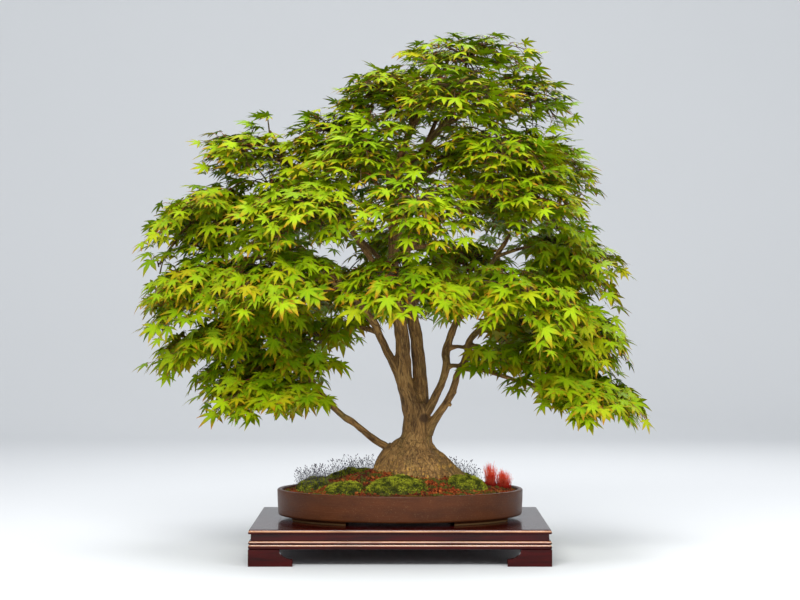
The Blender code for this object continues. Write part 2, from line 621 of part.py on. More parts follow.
def fused_skin(routes):
    """One skin round the overlapping tubes of all routes."""
    guide = bpy.data.objects.new("wood_guide", tube_curve("wood", routes))
    bpy.context.scene.collection.objects.link(guide)
    wood = bpy.data.objects.new("wood_tubes", mesh_of(guide))
    bpy.data.objects.remove(guide)
    bpy.context.scene.collection.objects.link(wood)
    fuse = wood.modifiers.new("Fuse", "REMESH")
    fuse.mode = "VOXEL"
    fuse.voxel_size = TRUNK_VOXEL
    wood.modifiers.new("Even", "SMOOTH").iterations = 1
    wood.modifiers.new("Fewer", "DECIMATE").ratio = TRUNK_FACE_SHARE
    skin = mesh_of(wood)
    bpy.data.objects.remove(wood)
    return skin


# ---------------------------------------------------------------- foliage


def settled_pads():
    """The pads from the top down, each lowered until it clears the ones above it."""
    pads = []
    for index, (name, row) in enumerate(PADS.items()):
        x, y, z, out, across, slope, droop, limb, share = row
        away = Vector((x - CROWN_AXIS[0], y - CROWN_AXIS[1]))
        away = away.normalized() if away.length > 0.07 else Vector((1.0, 0.0))
        pad = {"name": name, "middle": np.array([x, y, z]), "out": out, "across": across,
               "away": np.array(away), "slope": slope, "droop": droop, "limb": limb, "share": share,
               "seed": 1.7 * index}
        lower = max([0.0] + [overlap_height(pad, above) for above in pads])
        pad["middle"][2] -= lower
        pads.append(pad)
    return pads


def plan_place(pad, x, y):
    """Where points of the plan lie on a pad, as shares of its half sizes outwards and across."""
    dx, dy = x - pad["middle"][0], y - pad["middle"][1]
    away = pad["away"]
    return (dx * away[0] + dy * away[1]) / pad["out"], (dy * away[0] - dx * away[1]) / pad["across"]


def pad_height(pad, u, v, side):
    """The height of a pad's top (side 1), middle (0) or underside (-1) at shares u outwards, v across."""
    spread = u**2 + v**2
    body = np.sqrt(np.clip(1.0 - spread, 0.0, 1.0))
    sheet = pad["middle"][2] - pad["slope"] * pad["out"] * u - pad["droop"] * spread
    return sheet + side * body * PAD_THICKNESS / 2


def pad_point(pad, u, v, side):
    """A point of a pad."""
    away = pad["away"]
    plan = pad["middle"][:2] + away * pad["out"] * u + np.array([-away[1], away[0]]) * pad["across"] * v
    return plan[0], plan[1], float(pad_height(pad, u, v, side))


def overlap_height(pad, above):
    """How far a pad has to drop to clear another one, by a grid over the pad's plan."""
    u, v = np.meshgrid(np.linspace(-1, 1, 41), np.linspace(-1, 1, 41))
    inside = u**2 + v**2 <= 1.0
    u, v = u[inside], v[inside]
    away = pad["away"]
    x = pad["middle"][0] + away[0] * pad["out"] * u - away[1] * pad["across"] * v
    y = pad["middle"][1] + away[1] * pad["out"] * u + away[0] * pad["across"] * v
    other_u, other_v = plan_place(above, x, y)
    shared = other_u**2 + other_v**2 <= 1.10
    if not shared.any():
        return 0.0
    top = pad_height(pad, u[shared], v[shared], 1)
    under = pad_height(above, other_u[shared], other_v[shared], -1)
    return float((top - under).max()) + PAD_SPACING


def pad_mesh(pad):
    """A ball flattened into a drooping, slightly lumpy lens."""
    shape = bmesh.new()
    bmesh.ops.create_uvsphere(shape, u_segments=12, v_segments=6, radius=1.0)
    for vertex in shape.verts:
        u, v, side = vertex.co
        swing = 1.0 + 0.07 * lump(u, v, 0.0, 0.7, pad["seed"])
        x, y, z = pad_point(pad, u * swing, v * swing, 0.0)
        z += side * PAD_THICKNESS / 2 + PAD_LUMP * lump(x, y, z, 0.05, pad["seed"])
        vertex.co = (x, y, z)
    return mesh_from(shape, pad["name"])


def build_foliage(parts, pads, wood_rooms, finishes, parent):
    """One solid for each pad of leaves, hollowed where the wood runs into it."""
    for pad in pads:
        obj = add_part(parts, pad["name"], pad_mesh(pad), finishes["leaf"], parent)
        for room in wood_rooms:
            cut(obj, room)


# ---------------------------------------------------------------- soil and moss


def soil_height(x, y):
    """The height of the soil: a mound that runs down to just below the rim."""
    half_x, half_y = POT_LENGTH / 2 - POT_WALL, POT_DEPTH / 2 - POT_WALL
    out = min(math.hypot(x / half_x, y / half_y), 1.0)
    crest = math.hypot((x - SOIL_CREST[0]) / half_x, (y - SOIL_CREST[1]) / half_y)
    mound = (1.0 - out**2) * math.exp(-1.1 * crest**2)
    edge = POT_RIM - SOIL_EDGE_DROP
    return edge + (SOIL_CREST_HEIGHT - edge) * mound + SOIL_LUMP * (1.0 - out**4) * lump(x, y, 0.0, 0.03)


def soil_mesh():
    """The mound over a body that fills the pot."""
    wall = POT_LENGTH / 2 - POT_WALL - GAP * 2
    floor = POT_INSIDE_FLOOR + GAP
    rings = [wall * share for share in (0.0, 0.18, 0.36, 0.54, 0.72, 0.88)]
    edge = POT_RIM - SOIL_EDGE_DROP
    profile = [(r, edge + 0.001) for r in rings] + [(wall, edge)]
    profile += arc((wall - 0.006, floor + 0.006), 0.006, 0, -90, 3) + [(0.0, floor)]
    mesh = oval(turned("soil", profile, 36))
    for vertex in mesh.vertices:
        if vertex.co.z > edge - 0.001:
            vertex.co.z = soil_height(vertex.co.x, vertex.co.y)
    return mesh


def build_soil(parts, cutters, wood_rooms, finishes, parent):
    """The soil with room for the root base, the screens and the clips. Returns a swollen copy."""
    soil = add_part(parts, "soil", soil_mesh(), finishes["akadama"], parent)
    room = add_cutter(cutters, "soil_room", soil.data.copy(), parent)
    swell(room, SOIL_CLEARANCE)
    for wood_room in wood_rooms:
        cut(soil, wood_room)
    half, top = SCREEN_SIZE / 2 + 0.001, POT_INSIDE_FLOOR + SCREEN_THICKNESS + 2 * CLIP_RADIUS + 0.002
    for side, word in ((-1, "left"), (1, "right")):
        x = side * DRAIN_OFFSET
        low, high = (x - half, -half, POT_INSIDE_FLOOR - 0.005), (x + half, half, top)
        name = f"screen_room_{word}"
        cut(soil, add_cutter(cutters, name, box_mesh(name, low, high), parent))
    return room


def cushion_mesh(name, row):
    """A low, lumpy dome that starts inside the soil."""
    x, y, half_x, half_y, height, turn = row
    base = soil_height(x, y)
    shape = bmesh.new()
    bmesh.ops.create_uvsphere(shape, u_segments=12, v_segments=7, radius=1.0)
    for vertex in shape.verts:
        u, v, w = vertex.co
        swing = 1.0 + 0.12 * lump(u, v, w, 0.8, x * 40)
        vertex.co = (u * half_x * swing, v * half_y * swing, w * height * 1.25 * swing)
    angle = math.radians(turn)
    for vertex in shape.verts:
        u, v, w = vertex.co
        px, py = x + u * math.cos(angle) - v * math.sin(angle), y + u * math.sin(angle) + v * math.cos(angle)
        vertex.co = (px, py, w + 0.4 * base + 0.6 * soil_height(px, py) - 0.25 * height)
    return mesh_from(shape, name)


def build_moss(parts, soil_room, wood_rooms, finishes, parent):
    """Green cushions and a red tuft, each cut to the soil that it sits on."""
    for rows, finish in ((MOSS, "moss"), (RED_MOSS, "red_moss")):
        for name, row in rows.items():
            obj = add_part(parts, name, cushion_mesh(name, row), finishes[finish], parent)
            for room in (*wood_rooms, soil_room):
                cut(obj, room)


# ---------------------------------------------------------------- the whole


def centre_on_origin(parts, root):
    """Moves the group so that the middle of its overall box is over the origin."""
    bpy.context.view_layer.update()
    depsgraph = bpy.context.evaluated_depsgraph_get()
    low, high = np.full(3, np.inf), np.full(3, -np.inf)
    for obj in parts.objects:
        evaluated = obj.evaluated_get(depsgraph)
        mesh = evaluated.to_mesh()
        places = np.empty(len(mesh.vertices) * 3)
        mesh.vertices.foreach_get("co", places)
        turn, shift = np.array(obj.matrix_world.to_3x3()), np.array(obj.matrix_world.translation)
        places = places.reshape(-1, 3) @ turn.T + shift
        low, high = np.minimum(low, places.min(0)), np.maximum(high, places.max(0))
        evaluated.to_mesh_clear()
    middle = (low + high) / 2
    root.location = (-middle[0], -middle[1], 0.0)


def shade(parts):
    """Smooth shading with sharp edges where faces meet at more than 40 degrees."""
    for obj in parts.objects:
        if obj.type == "MESH":
            obj.data.shade_smooth()
            obj.data.set_sharp_from_angle(angle=math.radians(40))


def main():
    """Builds the tree, its pot and its stand."""
    clear_scene()
    parts = new_collection("maple_bonsai")
    cutters = new_collection("cutters", hidden=True)
    finishes = make_materials()
    root = bpy.data.objects.new("bonsai_root", None)
    bpy.context.scene.collection.objects.link(root)
    build_stand(parts, cutters, finishes, root)
    build_pot(parts, cutters, finishes, root)
    build_drainage(parts, finishes, root)
    pads = settled_pads()
    wood_rooms = build_trunk(parts, cutters, pads, finishes, root)
    build_foliage(parts, pads, wood_rooms, finishes, root)
    soil_room = build_soil(parts, cutters, wood_rooms, finishes, root)
    build_moss(parts, soil_room, wood_rooms, finishes, root)
    shade(parts)
    centre_on_origin(parts, root)


main()
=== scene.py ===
"""Looks of a maple bonsai in an oval pot on a lacquered display stand.

Metres, +Z up, and the front of the tree faces -Y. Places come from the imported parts' boxes and meshes.
"""

from __future__ import annotations

import json
import logging
import math
from dataclasses import dataclass, field
from enum import Enum

import bpy
import numpy as np
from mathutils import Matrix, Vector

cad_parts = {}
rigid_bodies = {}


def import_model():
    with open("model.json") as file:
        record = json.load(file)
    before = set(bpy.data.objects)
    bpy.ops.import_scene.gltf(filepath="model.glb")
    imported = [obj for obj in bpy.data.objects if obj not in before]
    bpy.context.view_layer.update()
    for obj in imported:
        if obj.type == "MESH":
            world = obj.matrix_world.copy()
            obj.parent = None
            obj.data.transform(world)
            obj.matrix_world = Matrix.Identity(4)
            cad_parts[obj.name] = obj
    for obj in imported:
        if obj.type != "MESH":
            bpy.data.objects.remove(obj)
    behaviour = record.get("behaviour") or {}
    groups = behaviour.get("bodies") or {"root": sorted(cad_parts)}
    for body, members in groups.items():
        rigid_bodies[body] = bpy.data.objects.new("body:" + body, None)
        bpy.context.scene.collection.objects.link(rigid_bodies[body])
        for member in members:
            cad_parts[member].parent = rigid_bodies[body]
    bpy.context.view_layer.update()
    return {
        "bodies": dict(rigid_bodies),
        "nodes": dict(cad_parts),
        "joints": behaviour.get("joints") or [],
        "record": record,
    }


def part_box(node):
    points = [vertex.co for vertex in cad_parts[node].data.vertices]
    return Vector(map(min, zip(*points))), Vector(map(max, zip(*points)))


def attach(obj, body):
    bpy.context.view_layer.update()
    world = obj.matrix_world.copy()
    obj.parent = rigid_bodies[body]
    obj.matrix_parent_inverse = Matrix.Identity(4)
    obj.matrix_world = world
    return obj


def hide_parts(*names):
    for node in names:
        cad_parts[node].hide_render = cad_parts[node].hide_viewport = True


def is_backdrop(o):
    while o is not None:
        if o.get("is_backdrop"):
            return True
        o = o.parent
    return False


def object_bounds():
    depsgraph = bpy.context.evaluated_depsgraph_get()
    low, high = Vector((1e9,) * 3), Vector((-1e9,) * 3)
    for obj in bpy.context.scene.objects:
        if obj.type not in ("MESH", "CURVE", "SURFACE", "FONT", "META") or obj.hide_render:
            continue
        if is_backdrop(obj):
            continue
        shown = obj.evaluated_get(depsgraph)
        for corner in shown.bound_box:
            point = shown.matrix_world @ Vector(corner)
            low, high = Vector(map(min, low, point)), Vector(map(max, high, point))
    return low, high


LOG = logging.getLogger("bonsai")
UP = np.array([0.0, 0.0, 1.0])
GOLDEN_ANGLE = math.pi * (3.0 - math.sqrt(5.0))
HASH_STEPS = (374761393, 668265263, 974634777)
HASH_FACTOR = 1274126177
HASH_LIMIT = 0xFFFFFFFF
LEAF_MAP = "OFBake"
Colour = tuple[float, float, float]
Socket = bpy.types.NodeSocket
Random = np.random.Generator


# ---------------------------------------------------------------- numbers and noise


def shade(red: int, green: int, blue: int) -> Colour:
    """A linear colour from the usual 0 to 255 screen values, by the standard curve."""
    parts = [value / 255.0 for value in (red, green, blue)]
    return tuple(p / 12.92 if p <= 0.04045 else ((p + 0.055) / 1.055) ** 2.4 for p in parts)


def unit(vectors: np.ndarray) -> np.ndarray:
    """Vectors divided by their lengths."""
    return vectors / np.maximum(np.linalg.norm(vectors, axis=-1, keepdims=True), 1e-12)


def hashed(cells: np.ndarray, seed: int) -> np.ndarray:
    """A fixed number from 0 to 1 for each cell.

    The three whole numbers are multiplied by large odd numbers, added, and scrambled with shifts
    and products modulo 2 to the power 32.

    Args:
        cells: whole numbers, the last axis holds three.
        seed: a whole number that picks another pattern.

    Returns:
        One number for each cell.
    """
    whole = cells.astype(np.int64)
    mixed = (np.sum(whole * HASH_STEPS, axis=-1) + seed * HASH_FACTOR) & HASH_LIMIT
    for shift in (13, 16, 15):
        mixed = ((mixed ^ (mixed >> shift)) * HASH_FACTOR) & HASH_LIMIT
    return mixed / HASH_LIMIT


def ripple(points: np.ndarray, size: float, seed: int = 0, octaves: int = 1) -> np.ndarray:
    """Smooth noise from -1 to 1.

    Each octave takes the eight hashed corners of the cell round a point and blends them with the
    weights 3f^2 - 2f^3 of the fractions f. Every next octave is half as large and half as strong.

    Args:
        points: places, the last axis holds three.
        size: width of a bump of the first octave.
        seed: picks another pattern.
        octaves: number of layers.

    Returns:
        One number for each point.
    """
    total, strength, sum_of_strengths = 0.0, 1.0, 0.0
    for octave in range(octaves):
        scaled = points / size * 2.0**octave
        cell = np.floor(scaled)
        part = scaled - cell
        part = part * part * (3.0 - 2.0 * part)
        value = 0.0
        for corner in np.ndindex(2, 2, 2):
            weight = np.prod(np.where(np.array(corner, bool), part, 1.0 - part), axis=-1)
            value = value + weight * hashed(cell + np.array(corner), seed + 17 * octave)
        total = total + strength * (2.0 * value - 1.0)
        sum_of_strengths += strength
        strength *= 0.5
    return total / sum_of_strengths


def smooth_route(points: np.ndarray, per_span: int) -> np.ndarray:
    """A Catmull-Rom curve through rows of numbers.

    Between the rows b and c, with a before and d after, it is half of
    2b + (c-a)t + (2a-5b+4c-d)t^2 + (3b-a-3c+d)t^3 for t from 0 to 1.

    Args:
        points: rows to pass through.
        per_span: steps between two rows.

    Returns:
        The rows of the curve.
    """
    knots = np.vstack([2 * points[0] - points[1], points, 2 * points[-1] - points[-2]])
    a, b, c, d = (knots[k:len(knots) - 3 + k, None] for k in range(4))
    t = np.linspace(0.0, 1.0, per_span, endpoint=False)[None, :, None]
    square, cube = 2 * a - 5 * b + 4 * c - d, 3 * b - a - 3 * c + d
    spans = 0.5 * (2 * b + (c - a) * t + square * t**2 + cube * t**3)
    return np.vstack([spans.reshape(-1, points.shape[1]), points[-1:]])


def frames_along(path: np.ndarray) -> tuple[np.ndarray, np.ndarray, np.ndarray]:
    """Tangent, side and lift directions along paths, shape (..., rows, 3).

    The tangent is the central difference. The side is the cross product with a fixed helper that is
    never along the path, and the lift closes the right-handed frame.
    """
    tangent = unit(np.gradient(path, axis=-2))
    mean = unit(tangent.mean(axis=-2, keepdims=True))
    helper = np.where(np.abs(mean[..., 2:]) > 0.8, np.array([0.0, 1.0, 0.0]), UP)
    side = unit(np.cross(tangent, helper))
    return tangent, side, np.cross(side, tangent)


def round_angles(count: int) -> np.ndarray:
    """Angles once round in equal steps."""
    return np.arange(count) * 2 * math.pi / count


def on_level(x: np.ndarray, y: np.ndarray) -> np.ndarray:
    """Places at height 0."""
    return np.stack([x, y, np.zeros_like(x)], axis=-1)


def as_mark(values: np.ndarray) -> np.ndarray:
    """A mark that holds one number for each point, on its first axis."""
    return on_level(values, np.zeros_like(values))


def bowed(base: np.ndarray, height: np.ndarray, lean: np.ndarray, t: np.ndarray) -> np.ndarray:
    """Stems that bow over: base + height (t up + t^2 lean).

    Args:
        base: where the stems stand, shape (stems, 3).
        height: of each stem.
        lean: sideways in x and y for each stem, in heights.
        t: steps up a stem, from 0 to 1.

    Returns:
        Places, shape (stems, steps, 3).
    """
    sideways = on_level(lean[:, 0], lean[:, 1])[:, None] * (t**2)[None, :, None]
    return base[:, None] + height[:, None, None] * (t[None, :, None] * UP + sideways)


# ---------------------------------------------------------------- meshes


@dataclass
class Shape:
    """Points and faces in the making.

    Attributes:
        points: rows of x, y, z.
        faces: arrays of point numbers, one array for each count of corners.
        spots: rows of u, v for every face corner, in the order of the faces.
        marks: rows of three numbers for every point, by name.
    """

    points: np.ndarray
    faces: list[np.ndarray]
    spots: np.ndarray | None = None
    marks: dict[str, np.ndarray] = field(default_factory=dict)

    @classmethod
    def joined(cls, shapes: list[Shape]) -> Shape:
        """Several shapes as one, without welding."""
        starts = np.cumsum([0] + [len(s.points) for s in shapes[:-1]])
        faces = [f + start for s, start in zip(shapes, starts) for f in s.faces]
        spots = None
        if shapes[0].spots is not None:
            spots = np.vstack([s.spots for s in shapes])
        marks = {name: np.vstack([s.marks[name] for s in shapes]) for name in shapes[0].marks}
        return cls(np.vstack([s.points for s in shapes]), faces, spots, marks)

    def mesh(self, name: str) -> bpy.types.Mesh:
        """The shape as a smooth-shaded mesh."""
        corners = np.concatenate([f.ravel() for f in self.faces]).astype(np.int32)
        counts = np.concatenate([np.full(len(f), f.shape[1]) for f in self.faces])
        starts = np.concatenate([[0], np.cumsum(counts)[:-1]]).astype(np.int32)
        made = bpy.data.meshes.new(name)
        made.vertices.add(len(self.points))
        made.vertices.foreach_set("co", self.points.astype(np.float32).ravel())
        made.loops.add(len(corners))
        made.loops.foreach_set("vertex_index", corners)
        made.polygons.add(len(counts))
        made.polygons.foreach_set("loop_start", starts)
        made.polygons.foreach_set("use_smooth", np.ones(len(counts), bool))
        if self.spots is not None:
            layer = made.uv_layers.new(name=LEAF_MAP)
            layer.data.foreach_set("uv", self.spots.astype(np.float32).ravel())
        for mark, rows in self.marks.items():
            attribute = made.attributes.new(mark, "FLOAT_VECTOR", "POINT")
            attribute.data.foreach_set("vector", rows.astype(np.float32).ravel())
        made.update(calc_edges=True)
        return made


def grid_faces(rows: int, columns: int, closed_rows: bool = False,
               closed_columns: bool = False) -> np.ndarray:
    """Four-cornered faces of a grid stored row by row; they face along (step of column) x (step of row)."""
    row, column = np.meshgrid(np.arange(rows if closed_rows else rows - 1),
                              np.arange(columns if closed_columns else columns - 1), indexing="ij")
    next_row, next_column = (row + 1) % rows, (column + 1) % columns
    corners = [row * columns + column, row * columns + next_column,
               next_row * columns + next_column, next_row * columns + column]
    return np.stack(corners, axis=-1).reshape(-1, 4)


def poled(rings: np.ndarray, first: np.ndarray, last: np.ndarray) -> Shape:
    """A closed body of rings, with a fan of faces to a point at either end.

    Args:
        rings: shape (rows, columns, 3); they run round to the left as seen from the first point's side.
        first: the point before the first ring.
        last: the point after the last ring.

    Returns:
        The body.
    """
    rows, columns = rings.shape[:2]
    count, steps = rows * columns, np.arange(columns)
    after, final = (steps + 1) % columns, count - columns
    fans = np.vstack([np.stack([np.full(columns, count), steps, after], axis=1),
                      np.stack([np.full(columns, count + 1), final + after, final + steps], axis=1)])
    walls = grid_faces(rows, columns, closed_columns=True)[:, ::-1]
    return Shape(np.vstack([rings.reshape(-1, 3), first, last]), [walls, fans])


def tubes(paths: np.ndarray, radii: np.ndarray, sides: int) -> Shape:
    """Many tubes with closed, flat ends.

    A ring point is path + radius (cos a side + sin a lift), with a running round in equal steps.

    Args:
        paths: middle lines, shape (tubes, rows, 3).
        radii: shape (tubes, rows).
        sides: points round a ring.

    Returns:
        All tubes as one shape.
    """
    count, rows = paths.shape[:2]
    _, side, lift = frames_along(paths)
    angle = round_angles(sides)[:, None]
    ring = np.cos(angle) * side[:, :, None] + np.sin(angle) * lift[:, :, None]
    points = paths[:, :, None] + radii[:, :, None, None] * ring
    walls = grid_faces(rows, sides, closed_columns=True)[:, ::-1]
    ends = np.array([np.arange(sides), np.arange(rows * sides - 1, rows * sides - sides - 1, -1)])
    shifts = np.arange(count)[:, None, None] * rows * sides
    faces = [(part[None] + shifts).reshape(-1, part.shape[1]) for part in (walls, ends)]
    return Shape(points.reshape(-1, 3), faces)


def copies(points: np.ndarray, faces: list[np.ndarray], turns: np.ndarray, places: np.ndarray) -> Shape:
    """A small shape repeated: every copy's points are place + turn times point.

    Args:
        points: of the small shape.
        faces: of the small shape.
        turns: shape (copies, 3, 3), with any scaling inside.
        places: shape (copies, 3).

    Returns:
        All copies as one shape, copy after copy for each kind of face.
    """
    moved = np.einsum("nij,kj->nki", turns, points) + places[:, None]
    shifts = np.arange(len(places))[:, None, None] * len(points)
    return Shape(moved.reshape(-1, 3), [(f[None] + shifts).reshape(-1, f.shape[1]) for f in faces])


def spins(rng: Random, count: int) -> np.ndarray:
    """Turn matrices in all directions alike, from random unit quaternions."""
    w, x, y, z = unit(rng.normal(size=(count, 4))).T
    rows = [1 - 2 * (y * y + z * z), 2 * (x * y - z * w), 2 * (x * z + y * w),
            2 * (x * y + z * w), 1 - 2 * (x * x + z * z), 2 * (y * z - x * w),
            2 * (x * z - y * w), 2 * (y * z + x * w), 1 - 2 * (x * x + y * y)]
    return np.stack(rows, axis=-1).reshape(-1, 3, 3)


def evaluated(obj: bpy.types.Object) -> bpy.types.Mesh:
    """The mesh of an object with its modifiers applied."""
    bpy.context.view_layer.update()
    return bpy.data.meshes.new_from_object(obj.evaluated_get(bpy.context.evaluated_depsgraph_get()))


def points_of(mesh: bpy.types.Mesh) -> np.ndarray:
    """The mesh's points as rows."""
    flat = np.empty(len(mesh.vertices) * 3, np.float32)
    mesh.vertices.foreach_get("co", flat)
    return flat.reshape(-1, 3).astype(float)


def node_points(node: str) -> np.ndarray:
    """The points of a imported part."""
    return points_of(bpy.data.objects[node].data)


def placed(name: str, data: bpy.types.ID) -> bpy.types.Object:
    """A new object of a mesh, a lamp or a lens, linked to the scene."""
    made = bpy.data.objects.new(name, data)
    bpy.context.scene.collection.objects.link(made)
    return made


def show(name: str, mesh: bpy.types.Mesh, material: bpy.types.Material,
         nodes: tuple[str, ...] = ()) -> None:
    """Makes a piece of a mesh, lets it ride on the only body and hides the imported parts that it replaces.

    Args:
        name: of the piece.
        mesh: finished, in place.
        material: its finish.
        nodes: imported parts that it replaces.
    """
    mesh.materials.clear()
    mesh.materials.append(material)
    piece = placed(name, mesh)
    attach(piece, "root")
    if nodes:
        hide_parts(*nodes)
    LOG.info("%s: %d faces", name, len(mesh.polygons))


# ---------------------------------------------------------------- materials


class Recipe:
    """A Principled material in the making."""

    def __init__(self, name: str) -> None:
        """Starts with a plain Principled shader."""
        self.material = bpy.data.materials.new(name)
        self.material.use_nodes = True
        self.tree = self.material.node_tree
        self.shader = self.tree.nodes["Principled BSDF"]

    def node(self, kind: str, inputs: dict, **settings: object) -> bpy.types.Node:
        """Adds a node.

        Args:
            kind: the node type's name without its ShaderNode start.
            inputs: values or sockets by socket name or number.
            **settings: attributes of the node.

        Returns:
            The node.
        """
        made = self.tree.nodes.new("ShaderNode" + kind)
        for key, value in settings.items():
            setattr(made, key, value)
        for key, value in inputs.items():
            self.feed(made.inputs[key], value)
        return made

    def feed(self, socket: Socket, value: object) -> None:
        """Links a socket to another one, or sets its value."""
        if isinstance(value, Socket):
            self.tree.links.new(value, socket)
        elif isinstance(value, tuple) and len(value) == 3 and socket.type == "RGBA":
            socket.default_value = (*value, 1.0)
        else:
            socket.default_value = value

    def dress(self, **inputs: object) -> None:
        """Feeds the shader's sockets, named with underscores for spaces."""
        for key, value in inputs.items():
            self.feed(self.shader.inputs[key.replace("_", " ")], value)

    def place(self, stretch: Colour = (1.0, 1.0, 1.0)) -> Socket:
        """Object coordinates, multiplied along each axis."""
        source = self.node("TexCoord", {}).outputs["Object"]
        return self.node("Mapping", {"Vector": source, "Scale": stretch}).outputs[0]

    def mark(self, name: str) -> Socket:
        """A mark that the mesh carries."""
        return self.node("Attribute", {}, attribute_name=name).outputs["Vector"]

    def noise(self, vector: Socket, scale: float, detail: float = 3.0, rough: float = 0.55) -> Socket:
        """A noise value of about 0.25 to 0.75."""
        inputs = {"Vector": vector, "Scale": scale, "Detail": detail, "Roughness": rough}
        return self.node("TexNoise", inputs).outputs[0]

    def cells(self, vector: Socket, scale: float) -> Socket:
        """A colour of its own for each cell."""
        return self.node("TexVoronoi", {"Vector": vector, "Scale": scale}).outputs["Color"]

    def ramp(self, value: object, stops: list[tuple[float, Colour]]) -> Socket:
        """Colours along a value."""
        made = self.node("ValToRGB", {0: value})
        while len(made.color_ramp.elements) < len(stops):
            made.color_ramp.elements.new(0.5)
        for element, (position, colour) in zip(made.color_ramp.elements, stops):
            element.position = position
            element.color = (*colour, 1.0)
        return made.outputs[0]

    def span(self, value: object, low: float, high: float, to_low: float = 0.0,
             to_high: float = 1.0) -> Socket:
        """A value stretched from one range to another, and kept inside it."""
        return self.node("MapRange", {0: value, 1: low, 2: high, 3: to_low, 4: to_high}).outputs[0]

    def blend(self, share: object, first: object, second: object) -> Socket:
        """A mix of two colours."""
        return self.node("Mix", {0: share, 6: first, 7: second}, data_type="RGBA").outputs[2]

    def sum(self, kind: str, first: object, second: object = 0.0) -> Socket:
        """A Math node's result."""
        return self.node("Math", {0: first, 1: second}, operation=kind).outputs[0]

    def axes(self, vector: Socket) -> tuple[Socket, ...]:
        """The three numbers of a vector."""
        return tuple(self.node("SeparateXYZ", {0: vector}).outputs)

    def relief(self, height: object, depth: float, below: Socket | None = None) -> Socket:
        """A bump of a depth in metres, over another bump if one is given."""
        inputs = {"Height": height, "Distance": depth, "Strength": 1.0}
        if below is not None:
            inputs["Normal"] = below
        return self.node("Bump", inputs).outputs[0]


@dataclass(frozen=True)
class BarkFinish:
    """Old maple bark: brown with fine lengthwise fibres, paler ridges and ochre flakes at the foot."""

    dark: Colour = shade(78, 52, 25)
    middle: Colour = shade(142, 103, 52)
    pale: Colour = shade(184, 144, 82)
    ochre: Colour = shade(208, 158, 62)
    green: Colour = shade(100, 96, 36)
    flake_top: float = 0.175
    # Middle of a painted shade spot that stands for the trunk's cavity.
    hollow: Colour = (0.0578, -0.0050, 0.2370)

    def material(self) -> bpy.types.Material:
        """Fibres follow the mesh's own mark, which runs slowly along the wood."""
        recipe = Recipe("bark")
        grain = recipe.mark("grain")
        place = recipe.place()
        fibre = recipe.noise(grain, 420.0, 5.0, 0.65)
        broad = recipe.noise(place, 28.0, 3.0)
        colour = recipe.ramp(fibre, [(0.36, self.dark), (0.49, self.middle), (0.64, self.pale)])
        tint = recipe.ramp(broad, [(0.35, self.dark), (0.55, self.middle), (0.72, self.pale)])
        colour = recipe.blend(0.42, colour, tint)
        mossy = recipe.span(recipe.noise(place, 17.0, 2.0), 0.52, 0.68, 0.0, 0.45)
        colour = recipe.blend(mossy, colour, self.green)
        off_line = recipe.sum("ABSOLUTE", recipe.sum("SUBTRACT", recipe.noise(grain, 170.0, 4.0), 0.5))
        crack = recipe.span(off_line, 0.0, 0.030, 0.85, 0.0)
        colour = recipe.blend(crack, colour, self.dark)
        # Painted shade: a round dark spot darkens the bark where the trunk's cavity lies; the cavity has no
        # shape of its own.
        off_hollow = recipe.node("VectorMath", {0: place, 1: self.hollow}, operation="DISTANCE")
        painted_cavity_shade = recipe.span(off_hollow.outputs["Value"], 0.0060, 0.0100, 0.95, 0.0)
        colour = recipe.blend(painted_cavity_shade, colour, self.dark)
        height = recipe.axes(place)[2]
        low = recipe.span(height, self.flake_top, self.flake_top - 0.035, 0.0, 1.0)
        flakes = recipe.span(recipe.noise(place, 160.0, 3.0), 0.55, 0.62, 0.0, 0.8)
        colour = recipe.blend(recipe.sum("MULTIPLY", low, flakes), colour, self.ochre)
        rough = recipe.span(fibre, 0.3, 0.7, 0.92, 0.70)
        bump = recipe.relief(fibre, 0.0013, recipe.relief(crack, -0.0012))
        recipe.dress(Base_Color=colour, Roughness=rough, Normal=bump)
        return recipe.material


